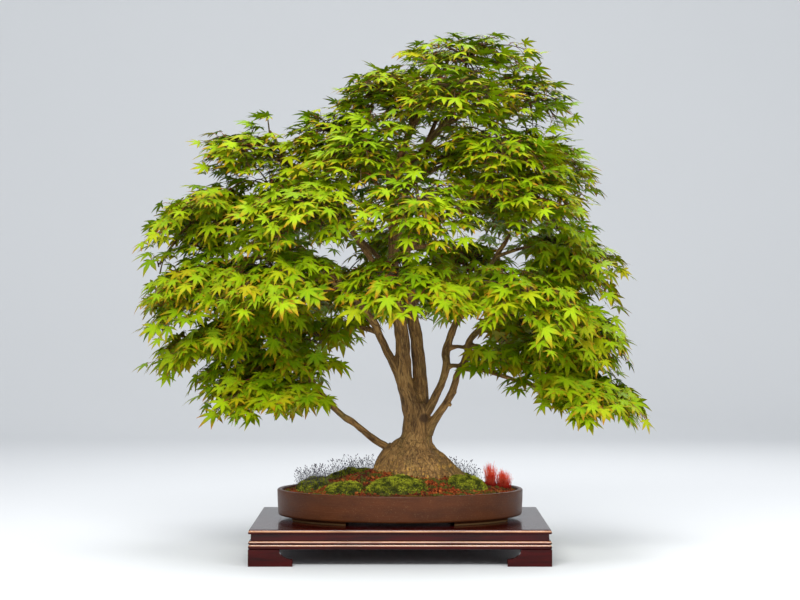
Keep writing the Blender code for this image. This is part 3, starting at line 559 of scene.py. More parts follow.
@dataclass(frozen=True)
class LeafFinish:
    """A maple leaf's face. Every lobe lies in one tile of the map: u across it, v from base to tip.

    The tile's row says how far the leaf has turned from deep green to yellow, its column how red
    the tips are.
    """

    tiles: int = 8
    deep: Colour = shade(60, 102, 6)
    fresh: Colour = shade(122, 160, 6)
    bright: Colour = shade(154, 182, 8)
    yellow: Colour = shade(172, 168, 14)
    tip: Colour = shade(184, 80, 24)

    def material(self) -> bpy.types.Material:
        """Colour by tile, with paler midribs, a darker blade between them and warm tips."""
        recipe = Recipe("leaf")
        spot = recipe.node("UVMap", {}, uv_map=LEAF_MAP).outputs[0]
        across_tiles = {0: spot, 1: (self.tiles, self.tiles, 1.0)}
        scaled = recipe.node("VectorMath", across_tiles, operation="MULTIPLY").outputs[0]
        tile = recipe.node("VectorMath", {0: scaled}, operation="FLOOR").outputs[0]
        inside = recipe.node("VectorMath", {0: scaled}, operation="FRACTION").outputs[0]
        column, row, _ = recipe.axes(tile)
        across, along, _ = recipe.axes(inside)
        age = recipe.sum("DIVIDE", row, self.tiles - 1.0)
        ages = [(0.0, self.deep), (0.35, self.fresh), (0.75, self.bright), (1.0, self.yellow)]
        colour = recipe.ramp(age, ages)
        off_middle = recipe.sum("ABSOLUTE", recipe.sum("SUBTRACT", across, 0.5))
        rib = recipe.span(off_middle, 0.0, 0.07, 0.45, 0.0)
        colour = recipe.blend(rib, colour, self.yellow)
        edge = recipe.span(off_middle, 0.25, 0.5, 0.0, 0.30)
        colour = recipe.blend(edge, colour, self.deep)
        redness = recipe.span(recipe.sum("DIVIDE", column, self.tiles - 1.0), 0.10, 0.85, 0.0, 0.95)
        warm = recipe.sum("MULTIPLY", redness, recipe.span(along, 0.42, 1.0))
        colour = recipe.blend(warm, colour, self.tip)
        veins = recipe.sum("SINE", recipe.sum("MULTIPLY", recipe.sum("ADD", along, off_middle), 60.0))
        midrib = recipe.span(off_middle, 0.0, 0.12, 1.0, 0.0)
        height = recipe.sum("ADD", recipe.sum("MULTIPLY", veins, 0.25), midrib)
        recipe.dress(Base_Color=colour, Roughness=0.48, Normal=recipe.relief(height, 0.0003))
        recipe.dress(Specular_IOR_Level=0.12)
        return recipe.material


@dataclass(frozen=True)
class StalkFinish:
    """Young twigs and leaf stalks: red, browner in places."""

    red: Colour = shade(150, 44, 30)
    brown: Colour = shade(120, 78, 40)

    def material(self) -> bpy.types.Material:
        """Patches of the two colours."""
        recipe = Recipe("stalk")
        place = recipe.place()
        share = recipe.span(recipe.noise(place, 40.0), 0.4, 0.62)
        recipe.dress(Base_Color=recipe.blend(share, self.red, self.brown), Roughness=0.5,
                     Normal=recipe.relief(recipe.noise(place, 900.0), 0.0002))
        return recipe.material


@dataclass(frozen=True)
class TwigFinish:
    """Fine twigs: dark olive brown with paler patches."""

    dark: Colour = shade(58, 44, 24)
    pale: Colour = shade(112, 86, 46)

    def material(self) -> bpy.types.Material:
        """Patches of the two colours."""
        recipe = Recipe("twig")
        place = recipe.place()
        share = recipe.span(recipe.noise(place, 60.0), 0.38, 0.64)
        recipe.dress(Base_Color=recipe.blend(share, self.dark, self.pale), Roughness=0.75,
                     Normal=recipe.relief(recipe.noise(place, 700.0), 0.0002))
        return recipe.material


@dataclass(frozen=True)
class SoilFinish:
    """Fired clay granules: rust brown, some paler, some damp and dark."""

    rust: Colour = shade(132, 54, 20)
    pale: Colour = shade(182, 98, 44)
    damp: Colour = shade(48, 26, 16)
    green: Colour = shade(74, 84, 26)

    def material(self) -> bpy.types.Material:
        """One tint for each granule-sized cell, with damp areas."""
        recipe = Recipe("akadama")
        place = recipe.place()
        grain = recipe.axes(recipe.cells(place, 260.0))[0]
        colour = recipe.ramp(grain, [(0.0, self.damp), (0.3, self.rust), (0.75, self.rust), (1.0, self.pale)])
        damp = recipe.span(recipe.noise(place, 30.0, 2.0), 0.50, 0.66, 0.0, 0.75)
        colour = recipe.blend(damp, colour, self.damp)
        mossy = recipe.span(recipe.noise(recipe.place((1.0, 1.2, 1.0)), 52.0, 3.0), 0.50, 0.57, 0.0, 0.85)
        colour = recipe.blend(mossy, colour, self.green)
        bump = recipe.relief(recipe.noise(place, 1200.0), 0.0005)
        recipe.dress(Base_Color=colour, Roughness=0.92, Normal=bump, Specular_IOR_Level=0.2)
        return recipe.material


@dataclass(frozen=True)
class MossFinish:
    """Cushion moss: dark between the shoots and yellow-green at their tips."""

    name: str = "moss"
    low: Colour = shade(38, 40, 12)
    high: Colour = shade(198, 204, 56)
    odd: Colour = shade(84, 92, 26)

    def material(self) -> bpy.types.Material:
        """The mesh's mark runs from 0 at a shoot's base to 1 at its tip."""
        recipe = Recipe(self.name)
        place = recipe.place()
        tip = recipe.axes(recipe.mark("tip"))[0]
        patch = recipe.span(recipe.noise(place, 75.0, 3.0), 0.40, 0.60)
        top = recipe.blend(patch, self.odd, self.high)
        recipe.dress(Base_Color=recipe.blend(recipe.span(tip, 0.05, 0.8), self.low, top), Roughness=0.85,
                     Normal=recipe.relief(recipe.noise(place, 1500.0), 0.0003))
        recipe.dress(Specular_IOR_Level=0.2)
        return recipe.material


@dataclass(frozen=True)
class StonewareFinish:
    """Burnished brown stoneware, sandy and pale on the feet."""

    body: Colour = shade(86, 45, 20)
    dark: Colour = shade(68, 35, 16)
    sand: Colour = shade(150, 118, 78)
    sand_top: float = 0.0652

    def material(self) -> bpy.types.Material:
        """Broad cloudy tints, faint throwing lines and pale feet below a height."""
        recipe = Recipe("stoneware")
        place = recipe.place()
        cloud = recipe.noise(recipe.place((1.0, 1.0, 3.0)), 14.0, 5.0, 0.6)
        colour = recipe.ramp(cloud, [(0.32, self.dark), (0.66, self.body)])
        speck = recipe.span(recipe.noise(place, 700.0, 1.0), 0.66, 0.74, 0.0, 0.35)
        colour = recipe.blend(speck, colour, self.sand)
        height = recipe.axes(place)[2]
        foot = recipe.span(height, self.sand_top, self.sand_top - 0.0008, 0.0, 0.8)
        colour = recipe.blend(foot, colour, self.sand)
        lines = recipe.noise(recipe.place((6.0, 6.0, 160.0)), 3.0, 2.0)
        bump = recipe.relief(lines, 0.0004, recipe.relief(recipe.noise(place, 500.0, 4.0), 0.0003))
        rough = recipe.span(cloud, 0.3, 0.7, 0.36, 0.50)
        recipe.dress(Base_Color=colour, Roughness=rough, Normal=bump, Specular_IOR_Level=0.18)
        return recipe.material


@dataclass(frozen=True)
class LacquerFinish:
    """Deep red lacquer over dark wood, polished."""

    name: str = "lacquer"
    coat: float = 0.18
    rubbed: bool = False
    red: Colour = shade(60, 4, 3)
    dark: Colour = shade(38, 3, 3)
    # Pale cream of the painted highlight on the bead rows.
    bare: Colour = shade(226, 166, 124)

    def material(self) -> bpy.types.Material:
        """Faint grain under a clear coat and, where asked, a painted highlight: pale cream colour on the rows
        that carry the crest mark, broken up by noise.
        """
        recipe = Recipe(self.name)
        grain = recipe.noise(recipe.place((1.0, 9.0, 9.0)), 12.0, 4.0, 0.6)
        colour = recipe.ramp(grain, [(0.35, self.dark), (0.60, self.red)])
        dust = recipe.noise(recipe.place(), 240.0, 3.0)
        # Painted highlight: pale cream colour where the key light's glint falls on the beads, in place of a
        # reflection in the lacquer.
        if self.rubbed:
            crest = recipe.axes(recipe.mark("crest"))[0]
            highlight_breaks = recipe.span(recipe.noise(recipe.place(), 18.0, 3.0), 0.30, 0.60, 0.55, 0.95)
            colour = recipe.blend(recipe.sum("MULTIPLY", crest, highlight_breaks), colour, self.bare)
        recipe.dress(Base_Color=colour, Roughness=recipe.span(dust, 0.3, 0.7, 0.16, 0.26),
                     Normal=recipe.relief(grain, 0.0001))
        recipe.dress(Coat_Weight=self.coat, Coat_IOR=1.6, Coat_Roughness=0.05, Specular_IOR_Level=0.05)
        return recipe.material


@dataclass(frozen=True)
class PlainFinish:
    """A small part's finish: one colour with a little variation, metal or not."""

    name: str
    colour: Colour
    metallic: float
    rough: float

    def material(self) -> bpy.types.Material:
        """Slight unevenness in tint and in the surface."""
        recipe = Recipe(self.name)
        place = recipe.place()
        value = recipe.noise(place, 300.0, 3.0)
        darker = tuple(0.6 * part for part in self.colour)
        recipe.dress(Base_Color=recipe.blend(recipe.span(value, 0.3, 0.7), darker, self.colour),
                     Roughness=recipe.span(value, 0.3, 0.7, self.rough, self.rough + 0.15),
                     Normal=recipe.relief(value, 0.00005))
        recipe.dress(Metallic=self.metallic)
        return recipe.material


@dataclass(frozen=True)
class StudioFinish:
    """Matte pale paper."""

    colour: Colour = shade(226, 228, 230)

    def material(self) -> bpy.types.Material:
        """Barely uneven."""
        recipe = Recipe("studio_paper")
        value = recipe.noise(recipe.place(), 2.0)
        darker = tuple(0.98 * part for part in self.colour)
        recipe.dress(Base_Color=recipe.blend(value, darker, self.colour), Roughness=0.9)
        return recipe.material


# ---------------------------------------------------------------- studio


@dataclass(frozen=True)
class Lamp:
    """A flat soft light: where it hangs, what it is turned to, its width and height, and its power."""

    name: str
    place: tuple[float, float, float]
    aim: tuple[float, float, float]
    size: tuple[float, float]
    watts: float

    def hang(self) -> None:
        """Puts the light in the scene."""
        lamp = bpy.data.lights.new(self.name, "AREA")
        lamp.energy, lamp.shape = self.watts, "RECTANGLE"
        lamp.size, lamp.size_y = self.size
        holder = placed(self.name, lamp)
        holder.location = self.place
        way = np.array(self.aim) - np.array(self.place)
        holder.rotation_euler = (math.acos(-way[2] / np.linalg.norm(way)), 0.0,
                                 math.atan2(way[1], way[0]) - math.pi / 2)


@dataclass
class Studio:
    """Floor, backdrop, lights and camera."""

    distance: float = 3.70
    eye_height: float = 0.4435
    lens: float = 94.9
    floor_half: float = 14.0
    back: float = 3.0
    sweep: float = 1.2
    wall_top: float = 5.0
    air: tuple[float, ...] = (0.93, 0.96, 1.0, 1.0)
    air_strength: float = 0.58
    lamps: tuple[Lamp, ...] = (
        Lamp("key_light", (-0.45, -2.6, 2.3), (0.0, 0.0, 0.50), (2.2, 0.8), 88.0),
        Lamp("fill_light", (1.9, -2.2, 1.3), (0.0, 0.0, 0.5), (1.8, 1.8), 22.0),
        Lamp("top_light", (0.1, -0.3, 2.6), (0.0, 0.0, 0.5), (1.4, 1.4), 30.0),
        Lamp("back_light", (0.6, 2.2, 2.0), (0.0, 0.0, 0.6), (1.6, 1.6), 18.0))

    def sweep_mesh(self) -> bpy.types.Mesh:
        """A floor that curves up into a backdrop: a profile in Y and Z carried along X.

        The profile is flat, then a quarter circle of the sweep's radius, then upright.
        """
        turn = np.linspace(0.0, math.pi / 2, 16)
        flat = np.array([[-self.floor_half, 0.0], [self.back, 0.0]])
        bend = np.stack([self.back + self.sweep * np.sin(turn), self.sweep * (1.0 - np.cos(turn))], axis=1)
        profile = np.vstack([flat, bend[1:], [[self.back + self.sweep, self.wall_top]]])
        sides = np.linspace(-self.floor_half, self.floor_half, 3)
        points = np.column_stack([np.repeat(sides, len(profile)), np.tile(profile, (3, 1))])
        return Shape(points, [grid_faces(3, len(profile))[:, ::-1]]).mesh("studio_floor")

    def build(self, middle: np.ndarray) -> None:
        """Sets the studio up round a middle (x, y)."""
        mesh = self.sweep_mesh()
        mesh.materials.append(StudioFinish().material())
        placed("studio_floor", mesh)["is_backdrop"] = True
        for lamp in self.lamps:
            lamp.hang()
        world = bpy.data.worlds.new("studio_air")
        world.use_nodes = True
        background = world.node_tree.nodes["Background"]
        background.inputs[0].default_value = self.air
        background.inputs[1].default_value = self.air_strength
        bpy.context.scene.world = world
        bpy.context.scene.view_settings.view_transform = "Standard"
        lens = bpy.data.cameras.new("camera")
        lens.lens = self.lens
        camera = placed("camera", lens)
        camera.location = (middle[0], middle[1] - self.distance, self.eye_height)
        camera.rotation_euler = (math.pi / 2, 0.0, 0.0)
        bpy.context.scene.camera = camera


# ---------------------------------------------------------------- pot, stand and drainage


@dataclass
class OvalPot:
    """The shallow pot as a fine surface."""

    wall: float = 0.009
    floor: float = 0.009
    foot_height: float = 0.0065
    foot_width: float = 0.009
    foot_inset: float = 0.013
    rim_round: float = 0.0030
    base_round: float = 0.0040
    gap_front: float = 0.184
    gap_side: float = 0.120
    drain_radius: float = 0.010
    drain_offset: float = 0.105
    beyond: float = 1.0
    edge_angle: float = 38.0
    columns: int = 176

    def profile(self, outer: float, bottom: float, rim: float) -> np.ndarray:
        """Radius and height from the middle of the inner floor, over the rim, down to the feet and back."""
        inner, under = outer - self.wall, bottom + self.foot_height
        inside_floor = under + self.floor
        foot = outer - self.foot_inset
        foot_back = foot - self.foot_width

        def bow(r: float, z: float, radius: float, start: float, end: float) -> np.ndarray:
            """Points on an arc, angles in degrees."""
            angle = np.radians(np.linspace(start, end, 9))
            return np.stack([r + radius * np.cos(angle), z + radius * np.sin(angle)], axis=1)

        spokes = np.linspace(0.0, 1.0, 5)[:-1]
        rows = [np.stack([spokes * (inner - 0.005), np.full(4, inside_floor)], axis=1),
                bow(inner - 0.005, inside_floor + 0.005, 0.005, 270, 360),
                bow(inner + self.rim_round, rim - self.rim_round, self.rim_round, 180, 90),
                bow(outer - self.rim_round, rim - self.rim_round, self.rim_round, 90, 0),
                [[outer - 0.0004, rim - 0.018], [outer - 0.0010, under + self.base_round + 0.010]],
                bow(outer - 0.0015 - self.base_round, under + self.base_round, self.base_round, 0, -90),
                [[foot + 0.0015, under], [foot + 0.0002, under - 0.0012], [foot - 0.0006, bottom + 0.0012],
                 [foot - 0.0018, bottom], [foot_back + 0.001, bottom], [foot_back, bottom + 0.001],
                 [foot_back - 0.001, under], [0.0, under]]]
        return np.vstack([np.asarray(row, float) for row in rows])

    def build(self, stoneware: bpy.types.Material) -> None:
        """Turns the profile into an oval, cuts the gaps between the feet and bores the drain holes."""
        low, high = (np.array(corner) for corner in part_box("pot"))
        middle, half = (low + high) / 2, (high - low) / 2
        profile = self.profile(half[0], low[2], high[2])
        angle = round_angles(self.columns)
        radius, height = profile[1:-1, 0, None], profile[1:-1, 1, None]
        x = middle[0] + radius * np.cos(angle)
        y = middle[1] + radius * np.sin(angle) * half[1] / half[0]
        rings = np.stack([x, y, np.broadcast_to(height, x.shape)], axis=-1)
        top, bottom = ([*middle[:2], profile[row, 1]] for row in (0, -1))
        pot = placed("pot_blank", poled(rings, top, bottom).mesh("pot_blank"))
        under = low[2] + self.foot_height
        depths = low[2] - 0.01, under + 0.0002
        cutters = [self.block(middle, self.gap_front / 2, self.beyond, *depths),
                   self.block(middle, self.beyond, self.gap_side / 2, *depths)]
        for offset in (-self.drain_offset, self.drain_offset):
            cutters.append(self.bore(middle + np.array([offset, 0.0, 0.0]), under))
        for cutter in cutters:
            cut = pot.modifiers.new("cut", "BOOLEAN")
            cut.operation, cut.solver, cut.object = "DIFFERENCE", "EXACT", placed("pot_cutter", cutter)
        mesh = evaluated(pot)
        for holder in [cut.object for cut in pot.modifiers] + [pot]:
            bpy.data.objects.remove(holder)
        mesh.name = "pot_shell"
        mesh.set_sharp_from_angle(angle=math.radians(self.edge_angle))
        show("pot_shell", mesh, stoneware, ("pot",))

    def block(self, middle: np.ndarray, half_x: float, half_y: float, low: float,
              high: float) -> bpy.types.Mesh:
        """A box that clears a gap between feet: its corners are all sign combinations of the half sizes."""
        signs = np.array(list(np.ndindex(2, 2, 2))) * 2.0 - 1.0
        plan = middle[:2] + signs[:, :2] * [half_x, half_y]
        points = np.column_stack([plan, np.where(signs[:, 2] > 0, high, low)])
        faces = np.array([[0, 1, 3, 2], [4, 6, 7, 5], [0, 4, 5, 1], [2, 3, 7, 6], [0, 2, 6, 4], [1, 5, 7, 3]])
        return Shape(points, [faces]).mesh("gap_block")

    def bore(self, place: np.ndarray, under: float) -> bpy.types.Mesh:
        """An upright round bar through the pot's floor."""
        path = np.array([[[place[0], place[1], under - 0.02], [place[0], place[1], under + 0.03]]])
        return tubes(path, np.full((1, 2), self.drain_radius), 40).mesh("drain_bore")


@dataclass
class Stand:
    """The lacquered stand and the small drainage parts.

    Panel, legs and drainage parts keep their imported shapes; the rails get smooth beaded ones.
    """

    prefixes: tuple[str, ...] = ("stand_", "drain_screen_", "drain_clip_")
    railings: tuple[str, ...] = ("stand_top_rail", "stand_waist", "stand_apron")
    rail_depth: float = 0.016
    corner: float = 0.0012
    top_thickness: float = 0.0078
    foot_setback: float = 0.0016
    panel_gap: float = 0.0002
    edge_angle: float = 35.0
    # Profile rows that carry the painted highlight of the rails.
    crests: tuple[int, ...] = (3, 12, 19)
    edge: tuple[tuple[float, float], ...] = (
        (2.4, 0.0), (1.9, 0.5), (1.55, 1.3), (0.75, 3.3), (0.25, 4.8), (0.0, 6.0), (0.4, 7.0), (1.4, 7.7),
        (4.5, 8.0), (4.5, 18.6), (2.4, 18.8), (1.7, 19.3), (1.2, 20.4), (0.4, 22.3), (0.1, 23.2),
        (0.5, 24.2), (2.6, 24.7), (2.6, 25.1), (1.6, 25.5), (1.2, 26.4), (0.4, 28.4), (0.0, 29.6),
        (0.2, 31.0), (0.9, 32.2))

    def rail_profile(self, low: float, high: float, inner: float) -> np.ndarray:
        """Setback and height of the rails, once round: the edge rows are millimetres in and down."""
        front = np.array([(inside / 1000, high - down / 1000) for inside, down in self.edge])
        under = high - self.top_thickness
        back = np.array([(self.foot_setback, low), (self.rail_depth, low), (self.rail_depth, under),
                         (inner, under), (inner, high)])
        return np.vstack([front, back])

    def rails(self, nodes: tuple[str, ...]) -> Shape:
        """The profile carried round the stand's oblong, with slightly blunt corners."""
        boxes = np.array([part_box(node) for node in nodes])
        low, high = boxes[:, 0].min(axis=0), boxes[:, 1].max(axis=0)
        panel = np.array(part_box("stand_top_panel"))
        inner = panel[0, 0] - low[0] - self.panel_gap
        profile = self.rail_profile(low[2], high[2], inner)
        back, height = profile[:, :1], profile[:, 1]
        cut = self.corner
        x = np.hstack([high[0] - back, high[0] - back - cut, low[0] + back + cut, low[0] + back,
                       low[0] + back, low[0] + back + cut, high[0] - back - cut, high[0] - back])
        y = np.hstack([high[1] - back - cut, high[1] - back, high[1] - back, high[1] - back - cut,
                       low[1] + back + cut, low[1] + back, low[1] + back, low[1] + back + cut])
        points = np.stack([x, y, np.broadcast_to(height[:, None], x.shape)], axis=-1)
        faces = grid_faces(len(profile), 8, closed_rows=True, closed_columns=True)[:, ::-1]
        crest = np.isin(np.arange(len(profile)), self.crests).astype(float)
        return Shape(points.reshape(-1, 3), [faces], marks={"crest": as_mark(np.repeat(crest, 8))})

    def dress(self, frame: dict) -> None:
        """Puts the lacquer, plastic and wire finishes on."""
        finishes = {"stand_": LacquerFinish().material(),
                    "drain_screen_": PlainFinish("screen_plastic", shade(38, 38, 38), 0.0, 0.5).material(),
                    "drain_clip_": PlainFinish("clip_wire", shade(196, 170, 140), 1.0, 0.3).material()}
        polished = LacquerFinish("lacquer_polished", coat=0.36).material()
        for node, obj in sorted(frame["nodes"].items()):
            for prefix in self.prefixes:
                if node.startswith(prefix):
                    obj.data.materials.clear()
                    obj.data.materials.append(polished if node == "stand_top_panel" else finishes[prefix])
                    LOG.info("%s: dressed", node)
        nodes = tuple(sorted(node for node in frame["nodes"] if node.startswith(self.railings)))
        mesh = self.rails(nodes).mesh("stand_rails")
        mesh.set_sharp_from_angle(angle=math.radians(self.edge_angle))
        # The rails' lacquer carries a painted highlight along the bead rows.
        rubbed = LacquerFinish("lacquer_rubbed", coat=0.26, rubbed=True).material()
        show("stand_rails", mesh, rubbed, nodes)


# ---------------------------------------------------------------- soil and moss


@dataclass
class SoilBed:
    """The mound of granules in the pot."""

    wall: float = 0.009
    edge_drop: float = 0.006
    crest: tuple[float, float] = (0.020, 0.020)
    crest_height: float = 0.150
    lump: float = 0.0016
    lump_width: float = 0.022
    grain: float = 0.0046
    row_share: float = 0.866
    clear_of_trunk: float = 0.046
    seed: int = 11

    def __post_init__(self) -> None:
        """Reads the pot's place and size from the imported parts."""
        low, high = (np.array(corner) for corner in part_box("pot"))
        self.middle = (low + high) / 2
        self.half = (high - low)[:2] / 2 - self.wall
        self.edge = high[2] - self.edge_drop
        self.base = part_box("soil")[0][2]

    def height(self, x: np.ndarray, y: np.ndarray) -> np.ndarray:
        """Height of the soil: the edge plus (crest - edge)(1 - r^2) exp(-1.1 c^2), and small lumps.

        Here r is the distance from the pot's middle and c that from the crest, both in half sizes.
        """
        x, y = x - self.middle[0], y - self.middle[1]
        out = np.minimum(np.hypot(x / self.half[0], y / self.half[1]), 1.0)
        crest = np.hypot((x - self.crest[0]) / self.half[0], (y - self.crest[1]) / self.half[1])
        mound = (1.0 - out**2) * np.exp(-1.1 * crest**2)
        lumps = self.lump * (1.0 - out**4) * ripple(on_level(x, y), self.lump_width, self.seed, 2)
        return self.edge + (self.crest_height - self.edge) * mound + lumps

    def bed(self) -> Shape:
        """A closed body: rings over the mound and down the wall, with a point at either end."""
        share, angle = np.linspace(0.0, 1.0, 40)[1:], round_angles(144)
        reach = self.half - 0.0006
        x = self.middle[0] + share[:, None] * reach[0] * np.cos(angle)
        y = self.middle[1] + share[:, None] * reach[1] * np.sin(angle)
        top = np.stack([x, y, self.height(x, y) - 0.0012], axis=-1)
        foot = 0.97 * reach * np.stack([np.cos(angle), np.sin(angle)], axis=1) + self.middle[:2]
        low = np.column_stack([foot, np.full(len(angle), self.base)])[None]
        crown = float(self.height(*self.middle[:2, None])[0])
        return poled(np.concatenate([top, low]), [*self.middle[:2], crown], [*self.middle[:2], self.base])

    def granules(self, trunk: np.ndarray) -> Shape:
        """Crumbs of clay on a jittered six-sided grid: icosahedra whose corners move in and out at random."""
        rng = np.random.default_rng(self.seed)
        step = self.grain
        deep = step * self.row_share
        columns, rows = int(2 * self.half[0] / step), int(2 * self.half[1] / deep)
        column, row = np.meshgrid(np.arange(columns), np.arange(rows))
        x = (column + 0.5 * (row % 2)) * step - self.half[0]
        y = row * deep - self.half[1]
        spots = np.stack([x.ravel(), y.ravel()], axis=1) + rng.normal(size=(x.size, 2)) * step * 0.28
        inside = np.hypot(*(spots / (self.half - 0.002)).T) < 1.0
        spots = spots[inside] + self.middle[:2]
        spots = spots[np.hypot(*(spots - trunk).T) > self.clear_of_trunk]
        count = len(spots)
        size = rng.uniform(0.36, 0.72, count) * step
        height = self.height(spots[:, 0], spots[:, 1]) + rng.uniform(-0.25, 0.55, count) * size
        places = np.column_stack([spots, height])
        golden = (1.0 + math.sqrt(5.0)) / 2.0
        corners = unit(np.array([
            [-1, golden, 0], [1, golden, 0], [-1, -golden, 0], [1, -golden, 0],
            [0, -1, golden], [0, 1, golden], [0, -1, -golden], [0, 1, -golden],
            [golden, 0, -1], [golden, 0, 1], [-golden, 0, -1], [-golden, 0, 1]], float))
        faces = np.array([
            [0, 11, 5], [0, 5, 1], [0, 1, 7], [0, 7, 10], [0, 10, 11], [1, 5, 9], [5, 11, 4],
            [11, 10, 2], [10, 7, 6], [7, 1, 8], [3, 9, 4], [3, 4, 2], [3, 2, 6], [3, 6, 8],
            [3, 8, 9], [4, 9, 5], [2, 4, 11], [6, 2, 10], [8, 6, 7], [9, 8, 1]])
        stretch = rng.uniform(0.75, 1.25, (count, 3))
        turns = spins(rng, count) * (size[:, None] * stretch)[:, None, :]
        crumbs = copies(corners, [faces], turns, places)
        rough = rng.uniform(0.82, 1.12, (count, 12, 1))
        points = crumbs.points.reshape(count, 12, 3)
        crumbs.points = (places[:, None] + (points - places[:, None]) * rough).reshape(-1, 3)
        return crumbs

    def build(self, trunk: np.ndarray) -> None:
        """Makes the bed and the granules on it."""
        material = SoilFinish().material()
        show("soil_bed", self.bed().mesh("soil_bed"), material, ("soil",))
        mesh = self.granules(trunk).mesh("soil_granules")
        mesh.set_sharp_from_angle(angle=math.radians(20))
        show("soil_granules", mesh, material)


@dataclass
class Mound:
    """The plan of a packed moss cushion: an ellipse with its middle, turn and half sizes."""

    node: str

    def __post_init__(self) -> None:
        """Fits the plan: the long axis is the first principal axis of the part's points."""
        points = node_points(self.node)
        plan = points[:, :2] - points[:, :2].mean(axis=0)
        _, _, axes = np.linalg.svd(plan, full_matrices=False)
        along = plan @ axes.T
        self.axes = axes
        self.middle = points[:, :2].mean(axis=0) + (along.max(axis=0) + along.min(axis=0)) / 2 @ axes
        self.half = (along.max(axis=0) - along.min(axis=0)) / 2
        self.top = points[:, 2].max()

    def spots(self, count: int, reach: float, rng: Random) -> tuple[np.ndarray, np.ndarray]:
        """Evenly spread plan places on a sunflower spiral: radius sqrt(k / n), turn k times the golden angle.

        Args:
            count: number of places.
            reach: how far out they go, in half sizes.
            rng: shakes them a little.

        Returns:
            The places and their distance from the middle, in half sizes.
        """
        number = np.arange(count) + 0.5
        radius, turn = reach * np.sqrt(number / count), number * GOLDEN_ANGLE
        share = np.stack([radius * np.cos(turn), radius * np.sin(turn)], axis=1)
        share = share + rng.normal(size=share.shape) * 0.6 / math.sqrt(count)
        return self.middle + (share * self.half) @ self.axes, np.hypot(*share.T)


